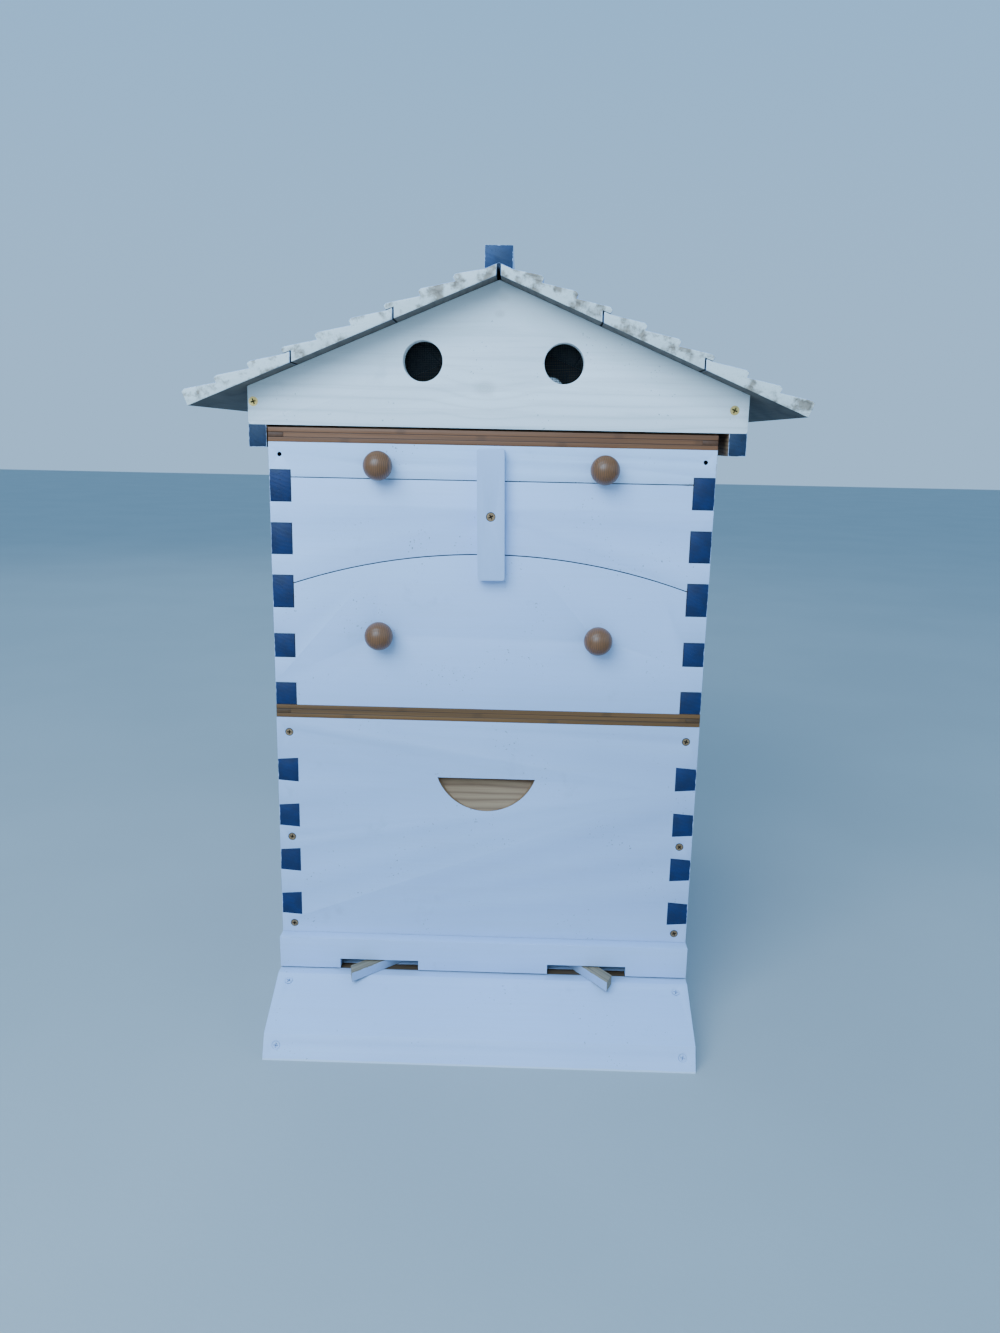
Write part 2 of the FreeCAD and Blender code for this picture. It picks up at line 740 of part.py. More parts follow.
def super_side(side):
    x = f"{HIVE_X} + {INNER}" if side > 0 else f"{HIVE_X} - {HALF}"
    board = block("wall", INNER_LENGTH, "super_height", x, f"{FRONT} + wall", EXCLUDER_TOP)
    top = "finger_top_margin - finger_1_tall / 2"
    seat = block("wall", "wall - key_strip_thick", top, x, f"{FRONT} + key_strip_thick",
                 f"{SUPER_TOP} - ({top})")
    whole = fuse(board, seat, *fingers(side, FRONT), *fingers(side, f"{REAR} - wall"))
    hand = scoop(f"{HIVE_X} + {side} * {HALF}", f"({FRONT} + {REAR}) / 2",
                 f"{SUPER_TOP} - handhold_drop", RIGHT_TURN if side > 0 else LEFT_TURN)
    return cut(whole, hand)


def corner_fingers(y):
    return fingers(-1, y) + fingers(1, y)


def arch_window(lift):
    """Everything under the arch line, raised by lift."""
    rise = "(arch_spring - arch_crown)"
    span = f"({INNER} - arch_side_gap)"
    radius = f"(({span} ^ 2 + {rise} ^ 2) / (2 * {rise}))"
    lower = block(f"box_width + 2 * {OVERCUT}", f"wall + 2 * {OVERCUT}",
                  f"super_height - arch_spring + {OVERCUT}", f"{HIVE_X} - {HALF} - {OVERCUT}",
                  f"{FRONT} - {OVERCUT}", f"{EXCLUDER_TOP} - {OVERCUT} + {lift}")
    disc = rod(radius, f"wall + 2 * {OVERCUT}", HIVE_X, f"{FRONT} - {OVERCUT}",
               f"{SUPER_TOP} - arch_crown - {radius} + {lift}", INTO_FRONT)
    cap = block(f"2 * {span}", f"wall + 2 * {OVERCUT}", f"{rise} + {OVERCUT}",
                f"{HIVE_X} - {span}", f"{FRONT} - {OVERCUT}",
                f"{SUPER_TOP} - arch_spring + {lift} - {OVERCUT} / 2")
    return fuse(lower, common(disc, cap))


part("super_side_left", super_side(-1))
part("super_side_right", super_side(1))

HONEY_LEDGE = f"({SUPER_TOP} - key_strip_tall - kerf)"
super_rear = block("box_width", "wall", "super_height", f"{HIVE_X} - {HALF}", f"{REAR} - wall", EXCLUDER_TOP)
honey_rebate = block(f"2 * {INNER}", "rebate_depth", f"key_strip_tall + kerf + {OVERCUT}",
                     f"{HIVE_X} - {INNER}", f"{REAR} - wall", HONEY_LEDGE)
super_rear_scoop = scoop(HIVE_X, REAR, f"{SUPER_TOP} - handhold_drop", REAR_TURN)
part("super_rear", cut(super_rear, honey_rebate, super_rear_scoop, *corner_fingers(f"{REAR} - wall")))


def front_blank():
    board = block("box_width", "wall", "super_height", f"{HIVE_X} - {HALF}", FRONT, EXCLUDER_TOP)
    return cut(board, *corner_fingers(FRONT))


def toggle_screw(gap):
    screw = wood_screw("toggle_screw_head_radius", "toggle_gap + toggle_thick + toggle_screw_grip", gap)
    return put(screw, f"{HIVE_X} + toggle_screw_side", f"{FRONT} - toggle_gap - toggle_thick",
               f"{SUPER_TOP} - toggle_screw_drop", INTO_FRONT)


def knob_holes(drop):
    return [
        rod("knob_peg_radius + screw_gap", f"knob_peg_length + screw_gap + {OVERCUT}",
            f"{HIVE_X} + {side} * knob_offset", f"{FRONT} - {OVERCUT}", f"{SUPER_TOP} - {drop}", INTO_FRONT)
        for side in (-1, 1)
    ]


key_band = block(f"box_width + 2 * {OVERCUT}", f"key_strip_thick - slip_gap + {OVERCUT}",
                 f"key_strip_tall + {OVERCUT}", f"{HIVE_X} - {HALF} - {OVERCUT}", f"{FRONT} - {OVERCUT}",
                 f"{SUPER_TOP} - key_strip_tall")
part("key_cover", cut(common(front_blank(), key_band), *knob_holes("knob_upper_drop"),
                      *peg_holes()))

under_key = block(f"box_width + 2 * {OVERCUT}", f"wall + 2 * {OVERCUT}", f"super_height + {OVERCUT}",
                  f"{HIVE_X} - {HALF} - {OVERCUT}", f"{FRONT} - {OVERCUT}",
                  f"{HONEY_LEDGE} - super_height - {OVERCUT}")
part("super_middle_rail", cut(common(front_blank(), under_key), arch_window("kerf"),
                              toggle_screw("screw_gap")))
part("window_cover", cut(common(front_blank(), arch_window("0")), *knob_holes("knob_lower_drop")))


def knob(side, drop):
    """A turned ball knob with a short neck and a peg that sits in the board."""
    ball = doc.addObject("Part::Sphere", "ball")
    set_sizes(ball, Radius="knob_radius")
    put(ball, z="0 - (knob_length - knob_radius)")
    keep = rod(f"knob_radius + {OVERCUT}", f"knob_length - knob_neck_length + {OVERCUT}",
               z=f"0 - knob_length - {OVERCUT}")
    neck_start = "knob_length / 2"
    neck = rod("knob_neck_radius", neck_start, z=f"0 - {neck_start}")
    peg = rod("knob_peg_radius", f"knob_peg_length + {OVERCUT}", z=f"0 - {OVERCUT}")
    whole = fuse(common(ball, keep), neck, peg)
    return put(whole, f"{HIVE_X} + {side} * knob_offset", FRONT, f"{SUPER_TOP} - {drop}", INTO_FRONT)


part("upper_knobs", group([knob(side, "knob_upper_drop") for side in (-1, 1)]))
part("lower_knobs", group([knob(side, "knob_lower_drop") for side in (-1, 1)]))


def toggle():
    """The turn button: a strip that swivels on its screw and holds both covers in."""
    half = "toggle_width / 2"
    top = "toggle_length / 2 + toggle_shift"
    foot = "0 - toggle_length / 2 + toggle_shift"
    corners = [(f"0 - {half}", foot), (half, foot), (half, top), (f"0 - {half}", top)]
    strip = prism("XZ_Plane", corners, "toggle_thick", rounds=range(4), radius="toggle_corner")
    bore = wood_screw("toggle_screw_head_radius", f"toggle_thick + 2 * {OVERCUT}", "pin_clearance")
    return put(cut(strip, put(bore, turn=INTO_FRONT)), f"{HIVE_X} + toggle_screw_side",
               f"{FRONT} - toggle_gap - toggle_thick", f"{SUPER_TOP} - toggle_screw_drop",
               Rotation(Vector(0, 1, 0), -value("toggle_tilt")))


part("toggle", toggle())
part("toggle_screw", toggle_screw("0"))


def honey_frame(index):
    """A plastic honey frame: two end plates with lugs and the comb between them."""
    pitch = f"(2 * ({INNER} - honey_side_space) / {HONEY_FRAMES})"
    width = f"({pitch} - honey_frame_space)"
    left = f"({HIVE_X} + ({index} - {(HONEY_FRAMES - 1) / 2}) * {pitch} - {width} / 2)"
    foot = f"({EXCLUDER_TOP} + honey_frame_foot)"
    top = f"({SUPER_TOP} - honey_frame_top)"
    front = f"({FRONT} + wall + honey_lug_gap)"
    rear = f"({REAR} - wall - honey_lug_gap - honey_plate_thick)"
    lug_length = "rebate_depth + honey_plate_thick"
    plates = [
        fuse(block(width, "honey_plate_thick", f"{top} - {foot}", left, plate_y, foot),
             block(width, lug_length, f"{top} - {HONEY_LEDGE}", left, lug_y, HONEY_LEDGE))
        for plate_y, lug_y in ((front, f"{front} - rebate_depth"), (rear, rear))
    ]
    comb = block(f"{width} - 2 * honey_comb_inset", f"{rear} - {front} - honey_plate_thick",
                 f"{top} - {foot} - honey_comb_top", f"{left} + honey_comb_inset",
                 f"{front} + honey_plate_thick", f"{foot} + honey_comb_foot")
    return group([*plates, comb])


for number in range(HONEY_FRAMES):
    part(f"honey_frame_{number + 1}", honey_frame(number))


# ---------------------------------------------------------------- inner cover

framed_board("inner_cover", SUPER_TOP, "cover_height", "cover_rail")
part("inner_cover_panel", block("box_width - 2 * cover_rail", "box_length - 2 * cover_rail",
                                "cover_panel_thick", f"{HIVE_X} - {HALF} + cover_rail",
                                f"{FRONT} + cover_rail",
                                f"{SUPER_TOP} + (cover_height - cover_panel_thick) / 2"))


# ---------------------------------------------------------------- roof

GABLE_FOOT = f"({COVER_TOP} + gable_gap)"
BOARD_FRONT = f"({FRONT} - roof_overhang)"
BOARD_LENGTH = "(box_length + 2 * roof_overhang)"


def underside(x):
    """The height of the roof boards' underside at a distance x from the ridge."""
    return f"({SUPER_TOP} + gable_apex - ({x}) * {SLOPE})"


def gable_screws(gap):
    screws = []
    for side, inset in ((-1, "gable_screw_left"), (1, "gable_screw_right")):
        x = f"{side} * ({ROOF_HALF} - {inset})"
        level = f"{SUPER_TOP} + gable_screw_level"
        front = wood_screw("gable_screw_radius", "gable_screw_length", gap)
        rear = wood_screw("gable_screw_radius", "gable_screw_length", gap)
        screws.append(put(front, x, FRONT, level, INTO_FRONT))
        screws.append(put(rear, x, REAR, level, INTO_REAR))
    return screws


def gable(y):
    corners = [
        (f"0 - {ROOF_HALF}", GABLE_FOOT),
        (ROOF_HALF, GABLE_FOOT),
        (ROOF_HALF, underside(ROOF_HALF)),
        ("0", underside("0")),
        (f"0 - {ROOF_HALF}", underside(ROOF_HALF)),
    ]
    board = put(prism("XZ_Plane", corners, "roof_wall", rounds=(0, 1), radius="gable_foot_round"), "0", y)
    vents = [
        rod("vent_radius", f"roof_wall + 2 * {OVERCUT}", f"{HIVE_X} + {side} * vent_offset",
            f"{y} - {OVERCUT}", f"{SUPER_TOP} + gable_apex * vent_share", INTO_FRONT)
        for side in (-1, 1)
    ]
    return cut(board, *vents, *gable_screws("screw_gap"))


def roof_side(side):
    """A side board under the eave: it hangs below the gables and is notched for them."""
    inner = f"({ROOF_HALF} - roof_wall)"
    foot = f"({GABLE_FOOT} - skirt_drop)"
    corners = [
        (f"{side} * {inner}", foot),
        (f"{side} * {ROOF_HALF}", foot),
        (f"{side} * {ROOF_HALF}", underside(ROOF_HALF)),
        (f"{side} * {inner}", underside(inner)),
    ]
    board = put(prism("XZ_Plane", corners, "box_length"), "0", FRONT)
    notches = [
        block(f"2 * {ROOF_HALF} + 2 * {OVERCUT}", f"roof_wall + {OVERCUT}", f"gable_apex + {OVERCUT}",
              f"0 - {ROOF_HALF} - {OVERCUT}", y, GABLE_FOOT)
        for y in (f"{FRONT} - {OVERCUT}", f"{REAR} - roof_wall")
    ]
    return cut(board, *notches, *gable_screws("screw_gap"))


part("gable_front", gable(FRONT))
part("gable_rear", gable(f"{REAR} - roof_wall"))
part("roof_side_left", roof_side(-1))
part("roof_side_right", roof_side(1))


BOARD_PITCH = f"(({EAVE} - eave_tail) / {BOARDS_PER_SIDE})"
STEP_PITCH = f"({BOARD_PITCH} / {STEPS_PER_BOARD} - step_lead / 2)"


def board_profile(index, side):
    """A roof board's section: a sloping underside and a top of overlapping steps."""
    start = f"({index} * {BOARD_PITCH} + board_seam)" if index else "(ridge_gap / 2)"
    stop = f"({index + 1} * {BOARD_PITCH})"
    root = f"({index} * {BOARD_PITCH} + board_lip - nose_undercut)" if index else "(ridge_cap_width / 2)"
    at_eave = index == BOARDS_PER_SIDE - 1
    raised = "(board_root + board_root_rise)"
    points = [(start, "0")]
    if at_eave:
        points.append((EAVE, "0"))
    else:
        points += [(stop, "0"), (stop, raised)]
    for steps_back in range(STEPS_PER_BOARD):
        nose = f"({stop} + board_lip - {steps_back} * {STEP_PITCH})"
        if at_eave and not steps_back:
            nose = f"({EAVE} + eave_nose)"
        else:
            points.append((f"({nose} - nose_undercut)", "board_root" if steps_back else raised))
        points += [(nose, "(board_nose - nose_bevel)"), (f"({nose} - nose_round)", "board_nose")]
    points += [(root, "board_root"), (start, "board_root")]
    return [(f"{side} * ({x})", f"{underside(x)} + {thick}") for x, thick in points]


for side, name in ((-1, "left"), (1, "right")):
    for index, place in enumerate(("upper", "middle", "eave")):
        board = prism("XZ_Plane", board_profile(index, side), BOARD_LENGTH)
        part(f"roof_board_{name}_{place}", put(board, "0", BOARD_FRONT))

cap_half = "(ridge_cap_width / 2)"
cap_corners = [
    ("0", f"{underside('0')} + board_root"),
    (cap_half, f"{underside(cap_half)} + board_root"),
    (cap_half, f"{underside('0')} + board_root + ridge_cap_tall"),
    (f"0 - {cap_half}", f"{underside('0')} + board_root + ridge_cap_tall"),
    (f"0 - {cap_half}", f"{underside(cap_half)} + board_root"),
]
part("ridge_cap", put(prism("XZ_Plane", cap_corners, BOARD_LENGTH), "0", BOARD_FRONT))
part("gable_screws", group(gable_screws("0")))

part("vent_meshes", group([
    block("vent_mesh_size", "vent_mesh_thick", "vent_mesh_size",
          f"{HIVE_X} + {side} * vent_offset - vent_mesh_size / 2", y,
          f"{SUPER_TOP} + gable_apex * vent_share - vent_mesh_size / 2")
    for side in (-1, 1)
    for y in (f"{FRONT} + roof_wall", f"{REAR} - roof_wall - vent_mesh_thick")
]))
CLEAT_HALF = f"({ROOF_HALF} - roof_wall - cleat_end_gap)"
part("roof_cleats", group([
    block(f"2 * {CLEAT_HALF}", "cleat_width", "cleat_tall", f"0 - {CLEAT_HALF}", y, COVER_TOP)
    for y in (f"{FRONT} + roof_wall", f"{REAR} - roof_wall - cleat_width")
]))


# ---------------------------------------------------------------- check and export

doc.recompute()
for obj in doc.Objects:
    if "Invalid" in obj.State or "Error" in obj.State:
        raise RuntimeError(f"{obj.Label} failed: {obj.State}")
os.makedirs("parts", exist_ok=True)
for obj in PARTS:
    shape = obj.Shape
    if shape.isNull() or not shape.isValid() or not shape.Solids:
        raise RuntimeError(f"{obj.Label} has no valid solid")
for obj in PARTS:
    obj.Shape.exportStep(f"parts/{obj.Label}.step")
print(len(PARTS), "pieces written")
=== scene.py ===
"""Beehive: painted boards, bare timber, turned knobs, screws and wire cloth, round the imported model."""
import json
import math

import bmesh
import bpy
from bpy.props import FloatProperty, FloatVectorProperty, PointerProperty
from mathutils import Matrix, Vector


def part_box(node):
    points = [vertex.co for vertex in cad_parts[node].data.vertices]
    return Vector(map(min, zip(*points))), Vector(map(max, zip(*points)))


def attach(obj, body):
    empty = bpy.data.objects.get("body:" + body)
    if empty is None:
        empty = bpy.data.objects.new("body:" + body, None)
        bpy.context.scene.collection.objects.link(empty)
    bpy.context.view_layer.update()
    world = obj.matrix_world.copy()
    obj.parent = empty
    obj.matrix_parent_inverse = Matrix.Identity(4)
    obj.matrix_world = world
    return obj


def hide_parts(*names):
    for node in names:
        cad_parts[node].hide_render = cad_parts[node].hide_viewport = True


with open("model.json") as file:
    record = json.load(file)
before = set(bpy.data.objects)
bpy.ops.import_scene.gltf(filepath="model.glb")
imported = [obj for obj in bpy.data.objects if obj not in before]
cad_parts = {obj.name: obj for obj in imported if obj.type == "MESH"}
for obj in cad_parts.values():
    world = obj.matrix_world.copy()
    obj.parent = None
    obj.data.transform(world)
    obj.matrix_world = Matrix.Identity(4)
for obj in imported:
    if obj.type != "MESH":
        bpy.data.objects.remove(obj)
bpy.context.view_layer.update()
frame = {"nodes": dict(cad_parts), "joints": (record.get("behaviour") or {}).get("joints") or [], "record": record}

bl_info = {
    "name": "Beehive",
    "version": (1, 0, 0),
    "blender": (4, 5, 0),
    "location": "3D View > Sidebar > Beehive",
    "description": "Finishes a wooden hive: paint, bare timber, knobs, screws and wire cloth",
    "category": "Object",
}

BODY_OF = {node: body for body, nodes in frame["record"]["behaviour"]["bodies"].items() for node in nodes}
JOINTS = {joint["name"]: joint for joint in frame["joints"]}

MM = 0.001
X, Y, Z = range(3)
FRONT_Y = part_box("brood_front")[0][Y]
REAR_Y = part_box("brood_rear")[1][Y]
LEFT_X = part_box("brood_side_left")[0][X]
RIGHT_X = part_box("brood_side_right")[1][X]
HIVE_X = (LEFT_X + RIGHT_X) / 2
HIVE_Y = (FRONT_Y + REAR_Y) / 2
SIDES = (("left", -1), ("right", 1))


# ------------------------------------------------------------------ sizes and colours a user may change

def colour(name, description, default):
    return FloatVectorProperty(name=name, description=description, default=default, size=3, subtype="COLOR",
                               min=0, max=1)


def length(name, description, default):
    return FloatProperty(name=name, description=description, default=default, unit="LENGTH", precision=5)


def share(name, description, default):
    return FloatProperty(name=name, description=description, default=default, min=0, max=1, subtype="FACTOR")


class HivePaint(bpy.types.PropertyGroup):
    """The paint on the boards."""
    white: colour("White", "Outside paint of the boards", (0.52, 0.62, 0.86))
    cream: colour("Cream", "Thin first coat that shows on the gables", (0.80, 0.78, 0.72))
    # the gables' paint: creamier than the boards' white, and also set much brighter as painted light for their
    # high place
    gable: colour("Gable", "Paint of the gables", (0.97, 0.95, 0.94))
    blue: colour("Blue", "Paint on the end grain of the side boards", (0.0, 0.013, 0.074))
    old_blue: colour("Old blue", "The same paint where the weather has dulled it", (0.016, 0.045, 0.12))
    dirt: colour("Dirt", "Specks and smudges on the paint", (0.16, 0.15, 0.14))
    wear: share("Wear", "How much of the arrises is rubbed bare", 0.5)
    gloss: share("Gloss", "How shiny the paint is", 0.62)


class HiveTimber(bpy.types.PropertyGroup):
    """The unpainted wood."""
    pine: colour("Pine", "Early wood of the bare pine", (0.36, 0.20, 0.10))
    pine_dark: colour("Pine rings", "Late wood of the bare pine", (0.17, 0.075, 0.032))
    # sawn pine of the gates, also darkened as painted shade for their place in the entrance slots
    sawn: colour("Sawn pine", "Rough sawn faces of the gates", (0.29, 0.20, 0.125))
    bamboo: colour("Bamboo", "Strip between the boxes", (0.185, 0.072, 0.018))
    cover: colour("Cover rail", "Strip under the roof", (0.22, 0.077, 0.027))
    knob: colour("Knob", "Turned knobs", (0.20, 0.072, 0.022))
    # seam colour: unpainted wood darkened nearly to black, painted shade in the seams between boards
    gap: colour("Gap", "Raw wood in the seams between boards", (0.022, 0.014, 0.010))
    # undersides: bare weather-worn wood darkened as painted shade under the roof boards
    weathered_and_shade: colour("Weathered", "Raw undersides of the roof boards", (0.12, 0.095, 0.075))


class HiveSizes(bpy.types.PropertyGroup):
    """Small sizes that the finishes add."""
    arris: length("Arris", "Rounding on the edges of the boards", 0.0006)
    fine_arris: length("Fine arris", "Rounding on strips, gates and frames", 0.0004)
    nose_arris: length("Nose arris", "Rounding on the roof boards and the turn button", 0.0009)
    floor_pitch: length("Floor wire pitch", "Distance between wires of the hive floor", 0.0032)
    floor_wire: length("Floor wire", "Radius of a floor wire", 0.00025)
    vent_pitch: length("Vent wire pitch", "Distance between wires behind the vents", 0.0016)
    vent_wire: length("Vent wire", "Radius of a vent wire", 0.00016)
    recess: share("Screw recess", "Width of the cross recess as a share of the head", 0.30)


class HiveStage(bpy.types.PropertyGroup):
    """The floor, the lights and the camera."""
    floor: colour("Floor", "Colour of the floor", (0.46, 0.44, 0.42))
    sky: colour("Sky", "Colour of the light from above", (0.22, 0.56, 1.0))
    haze: colour("Haze", "Colour of the light from all round", (0.38, 0.64, 0.95))
    sky_strength: FloatProperty(name="Sky strength", description="Light from all round", default=1.03, min=0)
    key_power: FloatProperty(name="Key light", description="Large light above the front", default=80,
                             unit="POWER", min=0)
    fill_power: FloatProperty(name="Fill light", description="Light from the side", default=16,
                              unit="POWER", min=0)
    camera_place: FloatVectorProperty(name="Camera place", description="Where the camera stands",
                                      default=(0.02561, -1.14439, 0.5722), subtype="TRANSLATION")
    camera_yaw: FloatProperty(name="Camera yaw", description="Turn to the right", unit="ROTATION",
                              default=math.radians(-1.139))
    camera_tilt: FloatProperty(name="Camera tilt", description="Tilt down", unit="ROTATION",
                               default=math.radians(12.74))
    camera_roll: FloatProperty(name="Camera roll", description="Roll about the view", unit="ROTATION",
                               default=math.radians(1.145))
    camera_lens: FloatProperty(name="Lens", description="Focal length in millimetres", default=27.03)


# ------------------------------------------------------------------ shader values and finishes

def plug(socket, item):
    """Link a value to a socket, or set the socket to a number, a colour or a vector."""
    if isinstance(item, Value):
        socket.id_data.links.new(item.socket, socket)
    elif socket.type == "RGBA" and len(item) == 3:
        socket.default_value = (*item, 1)
    else:
        socket.default_value = item


def calc(operation, *items):
    tree = next(item for item in items if isinstance(item, Value)).socket.id_data
    node = tree.nodes.new("ShaderNodeMath")
    node.operation = operation
    for socket, item in zip(node.inputs, items):
        plug(socket, item)
    return Value(node.outputs[0])


class Value:
    """A socket that takes part in sums: an expression on values adds its Math nodes."""

    def __init__(self, socket):
        self.socket = socket

    def out(self, name):
        """Another output of the same node."""
        return Value(self.socket.node.outputs[name])

    def __add__(self, other):
        return calc("ADD", self, other)

    def __sub__(self, other):
        return calc("SUBTRACT", self, other)

    def __rsub__(self, other):
        return calc("SUBTRACT", other, self)

    def __mul__(self, other):
        return calc("MULTIPLY", self, other)

    def __gt__(self, other):
        return calc("GREATER_THAN", self, other)

    def __lt__(self, other):
        return calc("LESS_THAN", self, other)

    def __abs__(self):
        return calc("ABSOLUTE", self)

    __radd__ = __add__
    __rmul__ = __mul__


def least(*items):
    result = items[0]
    for item in items[1:]:
        result = calc("MINIMUM", result, item)
    return result


def most(*items):
    result = items[0]
    for item in items[1:]:
        result = calc("MAXIMUM", result, item)
    return result


def distance(first, second):
    return calc("SQRT", first * first + second * second)


class Tree:
    """A node tree under construction."""

    def __init__(self, tree):
        self.tree = tree

    def add(self, kind, settings=None, sockets=None, output=0):
        """A node of that type: its settings first, then its sockets, which take numbers or values."""
        node = self.tree.nodes.new(kind)
        for name, setting in (settings or {}).items():
            setattr(node, name, setting)
        for name, item in (sockets or {}).items():
            for one in item if isinstance(item, list) else [item]:
                plug(node.inputs[name], one)
        return Value(node.outputs[output]) if node.outputs else None

    def split(self, vector):
        first = self.add("ShaderNodeSeparateXYZ", sockets={"Vector": vector})
        return first, first.out("Y"), first.out("Z")

    def vector(self, **parts):
        return self.add("ShaderNodeCombineXYZ", None, parts)

    def fade(self, value, start, stop):
        """0 at start, 1 at stop, smooth between; start may be the larger."""
        return self.add("ShaderNodeMapRange", {"interpolation_type": "SMOOTHSTEP"},
                        {"Value": value, "From Min": start, "From Max": stop})

    def mix(self, factor, first, second):
        return self.add("ShaderNodeMix", {"data_type": "RGBA"}, {0: factor, 6: first, 7: second}, output=2)


class Finish(Tree):
    """A material under construction, for a piece whose grain runs along one axis."""

    def __init__(self, name, along=X):
        self.material = bpy.data.materials.new(name)
        self.material.use_nodes = True
        super().__init__(self.material.node_tree)
        self.shader = self.tree.nodes["Principled BSDF"]
        self.along = along
        self.point = self.add("ShaderNodeTexCoord", output="Object")
        self.x, self.y, self.z = self.split(self.point)
        self.nx, self.ny, self.nz = self.split(self.point.out("Normal"))

    def scaled(self, lengthwise, across):
        """The point times a frequency along the grain and another across it, per metre."""
        factors = [across] * 3
        factors[self.along] = lengthwise
        return self.add("ShaderNodeVectorMath", {"operation": "MULTIPLY"},
                        {0: self.point, 1: tuple(factors)})

    def noise(self, lengthwise, across=None, detail=2.0, rough=0.5, bend=0.0):
        """Noise from 0 to 1 of that frequency; across differs where it follows the grain."""
        vector = self.scaled(lengthwise, lengthwise if across is None else across)
        return self.add("ShaderNodeTexNoise", None,
                        {"Vector": vector, "Scale": 1.0, "Detail": detail, "Roughness": rough,
                         "Distortion": bend})

    def wave(self, value):
        """0 to 1 and back for each unit of value."""
        return calc("PINGPONG", value, 0.5) * 2.0

    def done(self, base, roughness, height=None, depth=0.4, **constants):
        """Give the shader its colour, roughness and bump, and its fixed numbers; depth is in millimetres."""
        plug(self.shader.inputs["Base Color"], base)
        plug(self.shader.inputs["Roughness"], roughness)
        if height is not None:
            bump = self.add("ShaderNodeBump", None,
                            {"Strength": 0.6, "Distance": depth * MM, "Height": height})
            plug(self.shader.inputs["Normal"], bump)
        for name, number in constants.items():
            plug(self.shader.inputs[name.replace("_", " ").title().replace("Ior", "IOR")], number)
        return self.material


def shaded(tone, factor):
    return tuple(min(part * factor, 1) for part in tone)


def coats():
    """The paints and the timbers that the user may change."""
    return bpy.context.scene.hive_paint, bpy.context.scene.hive_timber


# how far the pith of the pine lies outside a board, and its rings in each metre
PITH = 30 * MM
RINGS = 300


